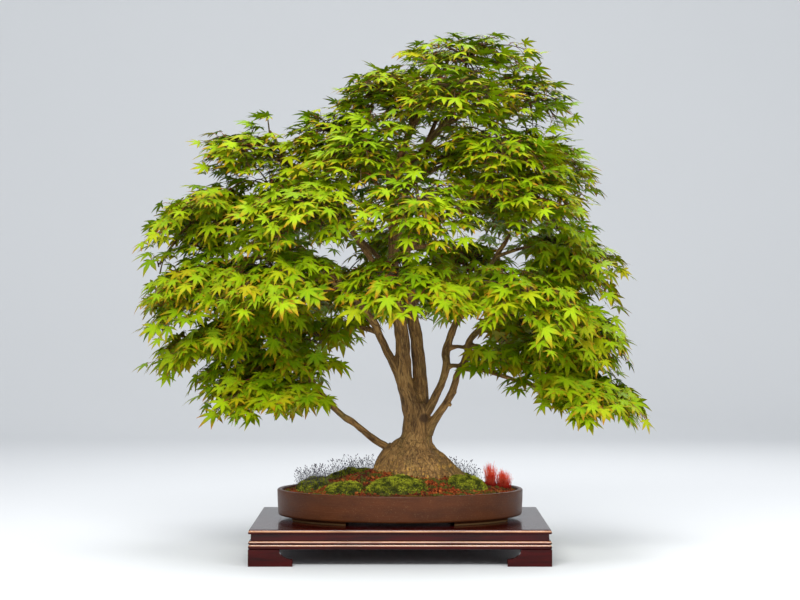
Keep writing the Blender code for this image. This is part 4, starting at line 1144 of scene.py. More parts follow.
@dataclass
class MossGarden:
    """Moss cushions with their shoots and spore stalks, and the tufts of red moss.

    A clump of the red moss is its middle along and across the tuft in half sizes, its spread, and its
    height in metres.
    """

    soil: SoilBed
    spacing: float = 0.0021
    shoot: float = 0.0042
    slant: float = 0.22
    lump: float = 0.0060
    lump_width: float = 0.015
    stalk_heights: tuple[float, float] = (0.006, 0.029)
    clumps: tuple[tuple[float, ...], ...] = ((-0.45, 0.05, 0.50, 0.034), (0.42, -0.02, 0.36, 0.042))
    leaflets: int = 16
    stalked: tuple[str, ...] = ("moss_cushion_back_left", "moss_cushion_back_right", "moss_cushion_left")
    seed: int = 23

    def dome(self, mound: Mound, x: np.ndarray, y: np.ndarray) -> np.ndarray:
        """Height of a cushion: the soil plus h sqrt(1 - r^2), with lumps that grow towards its middle."""
        share = (np.stack([x, y], axis=-1) - mound.middle) @ mound.axes.T / mound.half
        inner = np.clip(1.0 - np.sum(share**2, axis=-1), 0.0, 1.0)
        ground = self.soil.height(x, y)
        rise = mound.top - float(self.soil.height(*mound.middle[:, None])[0]) - self.shoot * 0.5
        lumps = self.lump * ripple(on_level(x, y), self.lump_width, self.seed, 3) * np.sqrt(inner)
        return ground + rise * np.sqrt(inner) + lumps

    def cushion(self, mound: Mound) -> Shape:
        """The body under the shoots: rings of the dome that end a little below the soil."""
        share, columns = np.sin(np.linspace(0.0, math.pi / 2, 15)[1:]), 48
        angle = round_angles(columns)
        ring = np.stack([np.cos(angle), np.sin(angle)], axis=1)
        plan = mound.middle + (share[:, None, None] * ring * mound.half) @ mound.axes
        height = self.dome(mound, plan[..., 0], plan[..., 1])
        height[-1] -= 0.004
        points = np.concatenate([plan, height[..., None]], axis=-1).reshape(-1, 3)
        crown = float(self.dome(mound, *mound.middle[:, None])[0])
        steps = np.arange(columns)
        faces = grid_faces(len(share), columns, closed_columns=True)
        fan = np.stack([np.full(columns, len(points)), (steps + 1) % columns, steps], axis=1)
        if np.linalg.det(mound.axes) > 0:
            faces, fan = faces[:, ::-1], fan[:, ::-1]
        points = np.vstack([points, [*mound.middle, crown]])
        return Shape(points, [faces, fan], marks={"tip": as_mark(np.full(len(points), 0.12))})

    def shoots(self, mound: Mound, rng: Random) -> Shape:
        """Little stars of six narrow blades that lean out of the dome: each blade is one bent strip."""
        count = int(math.pi * mound.half[0] * mound.half[1] / self.spacing**2)
        plan, _ = mound.spots(count, 1.04, rng)
        base = np.column_stack([plan, self.dome(mound, plan[:, 0], plan[:, 1]) - 0.0006])
        angle = np.arange(6) * math.pi / 3
        lean = np.array([0.75, 0.35, 0.75, 0.35, 0.75, 0.35])
        out = np.stack([np.cos(angle), np.sin(angle), np.zeros(6)], axis=1)
        side = np.stack([-np.sin(angle), np.cos(angle), np.zeros(6)], axis=1) * 0.13
        middle = out * (lean * 0.45)[:, None] + UP * 0.55
        tip = out * lean[:, None] + UP
        foot = out * 0.05
        points = np.stack([foot - side * 0.5, foot + side * 0.5, middle + side, middle - side, tip], axis=1)
        numbers = np.arange(6)[:, None] * 5
        faces = [numbers + np.array([0, 1, 2, 3]), numbers + np.array([3, 2, 4])]
        turn = rng.uniform(0.0, 2 * math.pi, count)
        size = self.shoot * rng.uniform(0.6, 1.15, count)
        slant = np.column_stack([rng.normal(size=(count, 2)) * self.slant, np.ones(count)])
        spin = np.zeros((count, 3, 3))
        spin[:, 0, 0] = spin[:, 1, 1] = np.cos(turn)
        spin[:, 1, 0], spin[:, 0, 1] = np.sin(turn), -np.sin(turn)
        spin[:, :, 2] = slant
        made = copies(points.reshape(-1, 3), faces, spin * size[:, None, None], base)
        made.marks["tip"] = as_mark(np.tile(points.reshape(-1, 3)[:, 2], count))
        return made

    def stalks(self, plan: np.ndarray, ground: np.ndarray, rng: Random) -> Shape:
        """Fine spore stalks that bow a little, each with a pod: a thin tube that swells at its end.

        The path is base + h t up + lean h t^2 sideways, the radius 0.2 mm, and 0.75 mm at the pod.
        """
        count, (low, high) = len(plan), self.stalk_heights
        t = np.array([0.0, 0.4, 0.75, 0.90, 0.94, 0.97, 1.0])
        height = low + (high - low) * rng.random(count) ** 1.3
        lean = rng.normal(size=(count, 2)) * 0.36
        path = bowed(np.column_stack([plan, ground]), height, lean, t)
        radii = np.broadcast_to(np.array([0.16, 0.13, 0.11, 0.12, 0.62, 0.72, 0.15]) * 0.001, (count, 7))
        return tubes(path, radii, 4)

    def red_tufts(self, rng: Random) -> Shape:
        """Upright feathery shoots in two clumps: a stem with pairs of short leaflets up its length."""
        mound, pairs = Mound("red_moss_tuft"), self.leaflets
        stems, leaflets = [], []
        for along, across, spread, tall in self.clumps:
            count = int(230 * spread / 0.5)
            share = rng.normal(size=(count, 2)) * spread * 0.42 + [along, across]
            plan = mound.middle + (share * mound.half) @ mound.axes
            ground = self.soil.height(plan[:, 0], plan[:, 1]) - 0.001
            far = np.hypot(*(share - [along, across]).T) / spread
            height = tall * np.clip(1.05 - 0.35 * far, 0.3, 1.0) * rng.uniform(0.7, 1.1, count)
            lean = (share - [along, across]) @ mound.axes * 0.35 + rng.normal(size=(count, 2)) * 0.10
            base = np.column_stack([plan, ground])
            path = bowed(base, height, lean, np.linspace(0.0, 1.0, 5))
            radii = np.broadcast_to(np.linspace(0.00045, 0.00012, 5), (count, 5))
            stems.append(tubes(path, radii, 3))
            along_stem = np.linspace(0.12, 0.98, pairs)
            places = bowed(base, height, lean, along_stem)
            turn = rng.uniform(0, 2 * math.pi, (count, pairs))
            out = np.stack([np.cos(turn), np.sin(turn), np.full_like(turn, 0.9)], axis=-1)
            side = np.stack([-np.sin(turn), np.cos(turn), np.zeros_like(turn)], axis=-1)
            size = (0.0030 * (1.1 - 0.6 * along_stem))[None, :, None]
            size = size * rng.uniform(0.7, 1.2, (count, pairs, 1))
            wide = side * size * 0.16
            corners = np.stack([places - wide, places + wide, places + unit(out) * size], axis=2)
            leaflets.append(Shape(corners.reshape(-1, 3), [np.arange(count * pairs * 3).reshape(-1, 3)]))
        made = Shape.joined([Shape(s.points, s.faces) for s in stems + leaflets])
        ground = self.soil.height(made.points[:, 0], made.points[:, 1])
        made.marks["tip"] = as_mark(np.clip((made.points[:, 2] - ground) / 0.028, 0.0, 1.0))
        return made

    def build(self) -> None:
        """Makes the cushions, the stalks and the red tufts."""
        rng = np.random.default_rng(self.seed)
        moss = MossFinish().material()
        stalk = PlainFinish("spore_stalk", shade(70, 62, 84), 0.0, 0.6).material()
        nodes = sorted(o.name for o in bpy.data.objects if o.name.startswith("moss_cushion_"))
        for node in nodes:
            mound = Mound(node)
            body = Shape.joined([self.cushion(mound), self.shoots(mound, rng)])
            show(f"{node}_shoots", body.mesh(f"{node}_shoots"), moss, (node,))
            if node in self.stalked:
                plan, _ = mound.spots(int(330 * mound.half[0] / 0.05), 1.05, rng)
                ground = self.dome(mound, plan[:, 0], plan[:, 1]) - 0.001
                made = self.stalks(plan, ground, rng)
                show(f"{node}_stalks", made.mesh(f"{node}_stalks"), stalk)
        red = MossFinish("red_moss", shade(168, 24, 16), shade(255, 124, 84), shade(246, 62, 40))
        tufts = self.red_tufts(rng).mesh("red_moss_shoots")
        show("red_moss_shoots", tufts, red.material(), ("red_moss_tuft",))


# ---------------------------------------------------------------- wood


@dataclass
class Wood:
    """Trunk, leaders, limbs and roots.

    Limbs are rows of x, y, z and radius from root to tip, with x and y from the pot's middle. Roots are
    bearing in degrees, reach and radius, and a root's rows are share of the reach, height and share of
    the radius. The grain's length along the wood is squeezed, so that noise on it is stretched.
    """

    limbs: dict[str, list[tuple[float, ...]]] = field(default_factory=lambda: {
        "trunk": [
            (0.030, 0.010, 0.088, 0.060), (0.030, 0.010, 0.125, 0.069), (0.029, 0.010, 0.140, 0.064),
            (0.027, 0.010, 0.158, 0.055), (0.026, 0.010, 0.174, 0.045), (0.027, 0.010, 0.188, 0.036),
            (0.029, 0.010, 0.201, 0.0295), (0.030, 0.009, 0.217, 0.0265), (0.029, 0.008, 0.240, 0.024),
            (0.026, 0.008, 0.262, 0.021),
        ],
        "leader_left": [
            (0.026, 0.006, 0.235, 0.0195), (0.018, 0.004, 0.268, 0.0175), (0.008, 0.002, 0.303, 0.0148),
            (0.004, 0.000, 0.375, 0.0125), (-0.004, -0.004, 0.424, 0.0110), (-0.010, -0.006, 0.480, 0.0100),
            (-0.012, -0.004, 0.550, 0.0088), (-0.010, 0.000, 0.645, 0.0072), (0.010, 0.006, 0.720, 0.0062),
            (0.045, 0.004, 0.790, 0.0050), (0.080, 0.000, 0.850, 0.0035),
        ],
        "leader_right": [
            (0.032, 0.012, 0.235, 0.0185), (0.035, 0.014, 0.265, 0.0158), (0.035, 0.016, 0.303, 0.0130),
            (0.029, 0.020, 0.375, 0.0115), (0.020, 0.024, 0.424, 0.0105), (0.013, 0.026, 0.498, 0.0095),
            (0.009, 0.024, 0.568, 0.0085), (0.009, 0.022, 0.633, 0.0075), (0.040, 0.020, 0.705, 0.0065),
            (0.095, 0.012, 0.775, 0.0055), (0.135, 0.004, 0.842, 0.0036),
        ],
        "limb_left": [
            (0.010, 0.002, 0.280, 0.0110), (-0.004, 0.000, 0.314, 0.0080), (-0.024, 0.004, 0.356, 0.0074),
            (-0.038, 0.006, 0.387, 0.0070), (-0.047, 0.006, 0.405, 0.0068), (-0.080, 0.006, 0.447, 0.0062),
            (-0.115, 0.010, 0.482, 0.0058), (-0.157, 0.012, 0.520, 0.0054), (-0.201, 0.012, 0.558, 0.0050),
            (-0.255, 0.008, 0.610, 0.0042), (-0.300, 0.000, 0.640, 0.0034),
        ],
        "limb_shoulder": [
            (-0.010, -0.005, 0.470, 0.0070), (-0.034, -0.006, 0.492, 0.0060), (-0.066, -0.004, 0.538, 0.0056),
            (-0.120, 0.000, 0.618, 0.0050), (-0.165, 0.004, 0.668, 0.0044), (-0.215, 0.004, 0.690, 0.0034),
        ],
        "limb_inner_right": [
            (0.038, 0.006, 0.212, 0.0120), (0.041, 0.000, 0.233, 0.0088), (0.058, -0.004, 0.266, 0.0072),
            (0.074, -0.006, 0.301, 0.0070), (0.081, -0.005, 0.329, 0.0069), (0.080, -0.002, 0.349, 0.0070),
            (0.084, 0.000, 0.366, 0.0070), (0.098, 0.002, 0.402, 0.0064), (0.125, 0.010, 0.445, 0.0058),
            (0.160, 0.018, 0.505, 0.0048), (0.195, 0.024, 0.560, 0.0036),
        ],
        "limb_outer_right": [
            (0.042, 0.002, 0.203, 0.0130), (0.060, -0.008, 0.233, 0.0080), (0.079, -0.015, 0.261, 0.0066),
            (0.092, -0.017, 0.286, 0.0070), (0.101, -0.018, 0.314, 0.0060), (0.110, -0.018, 0.330, 0.0068),
            (0.118, -0.018, 0.351, 0.0068), (0.122, -0.016, 0.372, 0.0060), (0.150, -0.014, 0.402, 0.0056),
            (0.210, -0.010, 0.447, 0.0048), (0.262, -0.006, 0.480, 0.0042), (0.300, -0.004, 0.500, 0.0034),
        ],
        "limb_low_left": [
            (0.006, 0.010, 0.166, 0.0120), (-0.022, 0.006, 0.184, 0.0076), (-0.048, 0.002, 0.201, 0.0066),
            (-0.078, -0.002, 0.226, 0.0062), (-0.104, -0.006, 0.244, 0.0062), (-0.143, -0.006, 0.284, 0.0058),
            (-0.161, -0.004, 0.310, 0.0056), (-0.185, -0.002, 0.329, 0.0050), (-0.222, 0.000, 0.345, 0.0044),
            (-0.280, 0.006, 0.352, 0.0038), (-0.315, 0.008, 0.354, 0.0032),
        ],
        "knob_low": [(0.084, -0.018, 0.262, 0.0044), (0.0900, -0.020, 0.2600, 0.0030)],
        "knob_middle": [(0.093, -0.019, 0.284, 0.0044), (0.0985, -0.021, 0.2815, 0.0030)],
        "knob_high": [(0.116, -0.019, 0.343, 0.0050), (0.1250, -0.021, 0.3405, 0.0032)],
        "bulge_left": [
            (0.012, 0.008, 0.176, 0.030), (-0.010, 0.006, 0.164, 0.026), (-0.022, 0.004, 0.144, 0.025),
            (-0.028, 0.004, 0.118, 0.024),
        ],
        "fork_low_left": [
            (-0.140, -0.006, 0.280, 0.0050), (-0.175, -0.020, 0.284, 0.0042), (-0.225, -0.035, 0.280, 0.0034),
        ],
        "limb_low_right": [
            (0.112, -0.018, 0.324, 0.0052), (0.154, -0.022, 0.319, 0.0042), (0.212, -0.026, 0.300, 0.0038),
            (0.262, -0.028, 0.288, 0.0034), (0.300, -0.030, 0.280, 0.0030),
        ],
        "limb_middle_right": [
            (0.119, -0.016, 0.358, 0.0052), (0.133, -0.018, 0.363, 0.0044), (0.159, -0.022, 0.340, 0.0042),
            (0.177, -0.024, 0.332, 0.0041), (0.203, -0.026, 0.338, 0.0039), (0.240, -0.024, 0.350, 0.0036),
            (0.285, -0.020, 0.372, 0.0032),
        ],
        "cross_twig_low": [
            (0.081, -0.006, 0.325, 0.0046), (0.093, -0.012, 0.329, 0.0038), (0.107, -0.018, 0.328, 0.0046),
        ],
        "cross_twig_high": [
            (0.084, -0.001, 0.358, 0.0046), (0.100, -0.008, 0.362, 0.0036), (0.119, -0.016, 0.360, 0.0046),
        ],
    })
    roots: list[tuple[float, float, float]] = field(default_factory=lambda: [
        (-8, 0.096, 0.015), (28, 0.084, 0.012), (64, 0.080, 0.013), (100, 0.076, 0.012), (140, 0.084, 0.014),
        (176, 0.092, 0.017), (208, 0.082, 0.013), (238, 0.076, 0.012), (268, 0.074, 0.014),
        (300, 0.080, 0.012), (330, 0.088, 0.013)])
    root_rows: tuple[tuple[float, float, float], ...] = (
        (0.22, 0.190, 0.50), (0.38, 0.168, 0.80), (0.58, 0.148, 0.85), (0.74, 0.134, 0.85), (1.0, 0.112, 0.6))
    steps: int = 8
    voxel: float = 0.0018
    squeeze: float = 0.16
    block: int = 4000

    def __post_init__(self) -> None:
        """Smooths the limbs and puts them over the pot."""
        low, high = (np.array(corner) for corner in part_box("pot"))
        self.shift = np.array([*((low + high) / 2)[:2], 0.0, 0.0])
        self.routes = {name: smooth_route(np.array(rows) + self.shift, self.steps)
                       for name, rows in self.limbs.items()}
        self.foot = self.routes["trunk"][0, :2]
        rows = np.array(self.root_rows)
        for number, (bearing, reach, radius) in enumerate(self.roots):
            way = np.array([math.cos(math.radians(bearing)), math.sin(math.radians(bearing))])
            plan = self.foot + rows[:, :1] * reach * way
            route = np.column_stack([plan, rows[:, 1], rows[:, 2] * radius])
            self.routes[f"root_{number}"] = smooth_route(route, self.steps)

    def skin(self) -> bpy.types.Mesh:
        """All tubes fused to one skin on a fine grid, then evened out."""
        parts = [tubes(route[None, :, :3], route[None, :, 3], 20) for route in self.routes.values()]
        blank = placed("wood_blank", Shape.joined(parts).mesh("wood_blank"))
        fuse = blank.modifiers.new("fuse", "REMESH")
        fuse.mode, fuse.voxel_size = "VOXEL", self.voxel
        even = blank.modifiers.new("even", "SMOOTH")
        even.factor, even.iterations = 0.5, 6
        mesh = evaluated(blank)
        bpy.data.objects.remove(blank)
        return mesh

    def along_wood(self, points: np.ndarray) -> tuple[np.ndarray, np.ndarray]:
        """Where points lie on the nearest route: across it in two directions and along it, and its radius.

        The nearest row of all routes is found by comparing distances less the row's radius.
        """
        rows, sides, lifts, runs = [], [], [], []
        for route in self.routes.values():
            _, side, lift = frames_along(route[:, :3])
            step = np.linalg.norm(np.diff(route[:, :3], axis=0), axis=1)
            rows.append(route)
            sides.append(side)
            lifts.append(lift)
            runs.append(np.concatenate([[0.0], np.cumsum(step)]))
        row, side, lift, run = np.vstack(rows), np.vstack(sides), np.vstack(lifts), np.concatenate(runs)
        near = np.empty(len(points), int)
        for start in range(0, len(points), self.block):
            some = points[start:start + self.block]
            gap = np.linalg.norm(some[:, None] - row[None, :, :3], axis=2) - row[None, :, 3]
            near[start:start + self.block] = gap.argmin(axis=1)
        off = points - row[near, :3]
        across, above, along = (np.sum(off * way[near], axis=1) for way in (side, lift, np.cross(lift, side)))
        return np.stack([across, above, (run[near] + along) * self.squeeze], axis=1), row[near, 3]

    def build(self, bark: bpy.types.Material) -> None:
        """Fuses the wood and raises its fibres: the skin moves along its normals by stretched noise."""
        mesh = self.skin()
        points = points_of(mesh)
        normals = np.empty(len(points) * 3, np.float32)
        mesh.vertices.foreach_get("normal", normals)
        local, radius = self.along_wood(points)
        thick = np.clip(radius / 0.022, 0.22, 1.4)
        fibres = ripple(local, 0.0052, 3, 3) * 0.0015 * thick
        folds = ripple(local, 0.017, 5, 2) * 0.0036 * np.clip(thick - 0.3, 0.0, 1.0)
        knots = ripple(points, 0.012, 8) * 0.0011
        points = points + normals.reshape(-1, 3) * (fibres + folds + knots)[:, None]
        mesh.vertices.foreach_set("co", points.astype(np.float32).ravel())
        grain = mesh.attributes.new("grain", "FLOAT_VECTOR", "POINT")
        grain.data.foreach_set("vector", local.astype(np.float32).ravel())
        mesh.polygons.foreach_set("use_smooth", np.ones(len(mesh.polygons), bool))
        mesh.name = "trunk_and_limbs"
        show("trunk_and_limbs", mesh, bark, ("trunk_and_branches",))


# ---------------------------------------------------------------- foliage


@dataclass
class PadPlan:
    """Where one foliage pad lies.

    Its sheet's height is a + b u + c v + d (u^2 + v^2), with u outwards and v across in half sizes.
    """

    name: str
    limb: str
    share: float
    depth: float
    away: np.ndarray
    centre: np.ndarray
    half: np.ndarray
    terms: np.ndarray
    thickness: float = 0.026

    @property
    def side(self) -> np.ndarray:
        """The level direction across the pad."""
        return np.array([-self.away[1], self.away[0]])

    @classmethod
    def measured(cls, node: str, axis: np.ndarray, limb: str, share: float, depth: float) -> "PadPlan":
        """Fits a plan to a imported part: half sizes by projection, the four terms by least squares."""
        points = node_points(node)
        middle = (points.min(axis=0) + points.max(axis=0)) / 2
        away = middle[:2] - axis
        away = away / np.linalg.norm(away) if np.linalg.norm(away) > 0.07 else np.array([1.0, 0.0])
        flat = np.stack([points[:, :2] @ away, points[:, :2] @ [-away[1], away[0]]], axis=1)
        low, high = flat.min(axis=0), flat.max(axis=0)
        half, centre = (high - low) / 2, (low + high) / 2
        u, v = ((flat - centre) / half).T
        columns = np.stack([np.ones_like(u), u, v, u**2 + v**2], axis=1)
        terms = np.linalg.lstsq(columns, points[:, 2], rcond=None)[0]
        return cls(node, limb, share, depth, away, centre, half, terms)

    @classmethod
    def loose(cls, sprig: "Sprig", shift: np.ndarray, axis: np.ndarray) -> "PadPlan":
        """A small gently domed pad that fills a place between the large ones."""
        place = np.array(sprig.place) + shift[:3]
        away = unit(place[:2] - axis)
        centre = np.array([place[:2] @ away, place[:2] @ [-away[1], away[0]]])
        terms = np.array([place[2], -sprig.fall, 0.0, -0.008])
        half = np.array(sprig.half)
        return cls(sprig.name, sprig.limb, sprig.share, sprig.depth, away, centre, half, terms)

    def point(self, u: np.ndarray, v: np.ndarray, lift: np.ndarray) -> np.ndarray:
        """Places at shares u outwards and v across, lifted by shares of half the thickness."""
        plan = (self.centre[0] + self.half[0] * u)[..., None] * self.away
        plan = plan + (self.centre[1] + self.half[1] * v)[..., None] * self.side
        a, b, c, d = self.terms
        height = a + b * u + c * v + d * (u**2 + v**2) + lift * self.thickness / 2
        return np.concatenate([plan, height[..., None]], axis=-1)


@dataclass(frozen=True)
class Sprig:
    """A small loose pad: its place from the pot's middle, half sizes, limb and how it hangs."""

    name: str
    place: tuple[float, float, float]
    half: tuple[float, float]
    limb: str
    share: float
    depth: float
    fall: float = 0.008


@dataclass(frozen=True)
class LeafForm:
    """A maple leaf with its stalk end at the origin, its middle lobe along +Y and its face up.

    Attributes:
        lobes: angle in degrees from the middle lobe, and length, from left to right.
        width: half width of a lobe at its widest.
        droop: how far a lobe's tip hangs.
        fold: how far a lobe's edges rise.
    """

    lobes: tuple[tuple[float, float], ...]
    width: float
    droop: float
    fold: float

    def build(self) -> tuple[np.ndarray, list[np.ndarray], list[np.ndarray]]:
        """Every lobe is a strip over (along, across): its edge runs from the notch out to the widest place
        and in to the tip, and a point at (x, y) of the lobe stands at -droop y^2 + fold |x|.

        Returns:
            Points, faces with four and with three corners, and the map place of each face corner.
        """
        angles = np.radians([lobe[0] for lobe in self.lobes])
        lengths = np.array([lobe[1] for lobe in self.lobes])
        between = (angles[1:] + angles[:-1]) / 2
        notch_angle = np.concatenate([[angles[0] - 0.42], between, [angles[-1] + 0.42]])
        notch_reach = np.concatenate([[0.13], 0.37 * np.minimum(lengths[1:], lengths[:-1]) ** 0.8, [0.13]])
        notches = np.stack([np.sin(notch_angle), np.cos(notch_angle)], axis=1) * notch_reach[:, None]
        points, quads, triangles, quad_spots, triangle_spots = [np.zeros(3)], [], [], [], []
        for x, y in notches:
            points.append(np.array([x, y, -self.droop * (x * x + y * y) + self.fold * 0.07]))
        for number, (angle, length) in enumerate(zip(angles, lengths)):
            ahead = np.array([math.sin(angle), math.cos(angle)])
            right = np.array([math.cos(angle), -math.sin(angle)])
            start = len(points)
            for share, half in ((0.30, 0.0), (0.53, self.width), (0.76, self.width * 0.52), (1.0, 0.0)):
                sides = (0.0,) if half == 0.0 else (-half, 0.0, half)
                for across in sides:
                    x, y = (ahead * share + right * across) * length
                    height = -self.droop * (share * length) ** 2 + self.fold * abs(across)
                    points.append(np.array([x, y, height]))
            left_notch, right_notch = 1 + number, 2 + number
            mid, l2, m2, r2, l3, m3, r3, tip = range(start, start + 8)
            triangles += [(0, right_notch, mid), (0, mid, left_notch), (m3, r3, tip), (l3, m3, tip)]
            triangle_spots += [((0.5, 0.0), (1.0, 0.3), (0.5, 0.3)), ((0.5, 0.0), (0.5, 0.3), (0.0, 0.3)),
                               ((0.5, 0.76), (1.0, 0.76), (0.5, 1.0)), ((0.0, 0.76), (0.5, 0.76), (0.5, 1.0))]
            quads += [(mid, right_notch, r2, m2), (left_notch, mid, m2, l2),
                      (m2, r2, r3, m3), (l2, m2, m3, l3)]
            for low, high in ((0.3, 0.54), (0.54, 0.76)):
                quad_spots += [((left, low), (left + 0.5, low), (left + 0.5, high), (left, high))
                               for left in (0.5, 0.0)]
        spots = [np.array(quad_spots), np.array(triangle_spots)]
        return np.array(points), [np.array(quads), np.array(triangles)], spots


class LeafKind(Enum):
    """The leaf forms that grow on the tree."""

    BROAD = LeafForm(((-126, 0.34), (-84, 0.72), (-42, 0.94), (0, 1.0), (42, 0.94), (84, 0.72),
                      (126, 0.34)), 0.140, 0.10, 0.10)
    STARRY = LeafForm(((-122, 0.38), (-80, 0.78), (-39, 0.96), (0, 1.08), (39, 0.96), (80, 0.78),
                       (122, 0.38)), 0.112, 0.17, 0.24)
    FIVE = LeafForm(((-92, 0.60), (-46, 0.90), (0, 1.05), (46, 0.90), (92, 0.60)), 0.150, 0.24, 0.08)
    YOUNG = LeafForm(((-70, 0.62), (-34, 0.88), (0, 1.04), (34, 0.88), (70, 0.62)), 0.104, 0.20, 0.36)


@dataclass
class Foliage:
    """The crown: branches from the limbs to the pads, twigs, leaf stalks and leaves.

    Attributes:
        spread: distance between twig tips.
        pair_backs: how far back from a twig's tip its leaves stand; the first is the end leaf.
        pair_signs: which side of the twig each of them is on.
        pair_turns: quarter turns of each round the twig.
        low_from, low_span: below this height leaves hang more, fully so one span further down.
        hang_spread: how unevenly blades hang, in degrees.
        tilt_spread: how unevenly blades roll sideways, in radians.
        kind_shares: how often each leaf kind grows.
        between: how many of the sprigs lie between the pads; the others are outside them.
        shallow, drawn_in, feeders: per pad, its depth, the share of its reach kept, and its limb with
            the share of the limb's length where the branch leaves.
    """

    wood: Wood
    spread: float = 0.0325
    leaf_size: float = 0.0308
    lobe_reach: float = 1.1
    pair_backs: tuple[float, ...] = (0.0, 0.011, 0.011, 0.025, 0.025, 0.040, 0.040)
    pair_signs: tuple[int, ...] = (0, 1, -1, 1, -1, 1, -1)
    pair_turns: tuple[int, ...] = (0, 0, 0, 1, 1, 0, 0)
    low_from: float = 0.78
    low_span: float = 0.36
    hang_spread: float = 14.0
    tilt_spread: float = 0.30
    kind_shares: tuple[float, ...] = (0.26, 0.40, 0.22, 0.12)
    between: int = 8
    tiles: int = 8
    crown_axis: tuple[float, float] = (0.050, 0.0)
    seed: int = 40
    depth: float = 0.055
    sprigs: tuple[Sprig, ...] = (
        Sprig("low_left_fill", (-0.205, -0.02, 0.338), (0.085, 0.075), "limb_low_left", 0.66, 0.045),
        Sprig("left_fill", (-0.145, 0.09, 0.385), (0.080, 0.065), "limb_left", 0.30, 0.045),
        Sprig("left_back_fill", (-0.230, 0.07, 0.425), (0.085, 0.065), "limb_left", 0.55, 0.060),
        Sprig("left_front_fill", (-0.250, -0.06, 0.420), (0.085, 0.060), "limb_left", 0.62, 0.055),
        Sprig("right_fill", (0.265, -0.02, 0.362), (0.090, 0.080), "limb_middle_right", 0.85, 0.060),
        Sprig("right_inner", (0.165, -0.05, 0.345), (0.045, 0.040), "limb_middle_right", 0.45, 0.020),
        Sprig("right_back_fill", (0.230, 0.10, 0.400), (0.085, 0.070), "limb_outer_right", 0.75, 0.050),
        Sprig("right_gap", (0.272, 0.03, 0.470), (0.080, 0.080), "limb_outer_right", 0.90, 0.060),
        Sprig("back_fill", (-0.030, 0.150, 0.450), (0.090, 0.060), "leader_left", 0.45, 0.035),
        Sprig("shoulder_fill", (-0.270, 0.02, 0.600), (0.080, 0.080), "limb_left", 0.90, 0.060),
        Sprig("top_left_fill", (-0.110, -0.02, 0.700), (0.080, 0.080), "leader_left", 0.72, 0.050),
        Sprig("top_fill", (0.010, 0.0, 0.800), (0.075, 0.080), "leader_left", 0.84, 0.050),
        Sprig("shoulder_tip", (-0.228, -0.01, 0.742), (0.022, 0.022), "limb_shoulder", 0.96, 0.010, -0.020),
        Sprig("shoulder_end", (-0.315, -0.01, 0.715), (0.024, 0.022), "limb_shoulder", 0.98, 0.010, -0.008),
        Sprig("far_left_tip", (-0.395, -0.01, 0.600), (0.026, 0.022), "limb_left", 0.98, 0.010, -0.004),
        Sprig("far_left_low", (-0.420, -0.02, 0.508), (0.022, 0.022), "limb_left", 0.98, 0.012),
        Sprig("shoulder_gap", (-0.225, -0.04, 0.650), (0.070, 0.060), "limb_shoulder", 0.75, 0.045),
        Sprig("low_left_tip", (-0.392, -0.02, 0.322), (0.022, 0.022), "limb_low_left", 0.97, 0.012),
        Sprig("low_left_gap", (-0.285, -0.02, 0.318), (0.068, 0.060), "limb_low_left", 0.85, 0.035),
        Sprig("far_left_gap", (-0.338, -0.02, 0.548), (0.058, 0.055), "limb_left", 0.90, 0.040),
        Sprig("back_middle_fill", (0.000, 0.165, 0.555), (0.085, 0.060), "leader_right", 0.52, 0.040),
        Sprig("back_right_fill", (0.130, 0.150, 0.520), (0.080, 0.060), "leader_right", 0.55, 0.040),
        Sprig("top_right_fill", (0.085, -0.06, 0.690), (0.080, 0.065), "leader_right", 0.70, 0.045),
    )
    shallow: dict[str, float] = field(default_factory=lambda: {
        "foliage_low_left": 0.022, "foliage_bottom_left": 0.012, "foliage_bottom_right": 0.015,
        "foliage_low_front": 0.025, "foliage_low_front_left": 0.035, "foliage_low_front_right": 0.035})
    drawn_in: dict[str, float] = field(default_factory=lambda: {
        "foliage_bottom_left": 0.86, "foliage_low_left": 0.97, "foliage_high_right": 0.90,
        "foliage_upper_right": 0.94, "foliage_middle_back_right": 0.92, "foliage_right_upper": 0.92,
        "foliage_right": 0.90, "foliage_far_left": 0.96})
    feeders: dict[str, tuple[str, float]] = field(default_factory=lambda: {
        "foliage_apex": ("leader_right", 0.96), "foliage_upper_left": ("leader_left", 0.88),
        "foliage_upper_front": ("leader_left", 0.85), "foliage_upper_right": ("leader_right", 0.86),
        "foliage_upper_back": ("leader_right", 0.82), "foliage_shoulder_inner": ("leader_left", 0.66),
        "foliage_high_front_left": ("leader_left", 0.70), "foliage_high_front_right": ("leader_left", 0.74),
        "foliage_high_right": ("leader_right", 0.76), "foliage_high_back_left": ("leader_right", 0.66),
        "foliage_high_back_right": ("leader_right", 0.72), "foliage_shoulder": ("limb_shoulder", 0.90),
        "foliage_middle_front_left": ("limb_shoulder", 0.45), "foliage_middle_front": ("leader_left", 0.56),
        "foliage_middle_front_right": ("leader_right", 0.56),
        "foliage_middle_back_left": ("leader_left", 0.52),
        "foliage_middle_back_right": ("leader_right", 0.58), "foliage_far_left_upper": ("limb_left", 0.93),
        "foliage_right_upper": ("limb_inner_right", 0.93), "foliage_far_left": ("limb_left", 0.68),
        "foliage_low_front_left": ("limb_left", 0.48), "foliage_low_front": ("leader_left", 0.42),
        "foliage_low_front_right": ("limb_inner_right", 0.72),
        "foliage_low_back_right": ("leader_right", 0.42),
        "foliage_low_back_left": ("leader_left", 0.42), "foliage_right": ("limb_outer_right", 0.92),
        "foliage_low_left": ("limb_low_left", 0.96), "foliage_bottom_left": ("fork_low_left", 0.92),
        "foliage_bottom_right": ("limb_low_right", 0.93)})

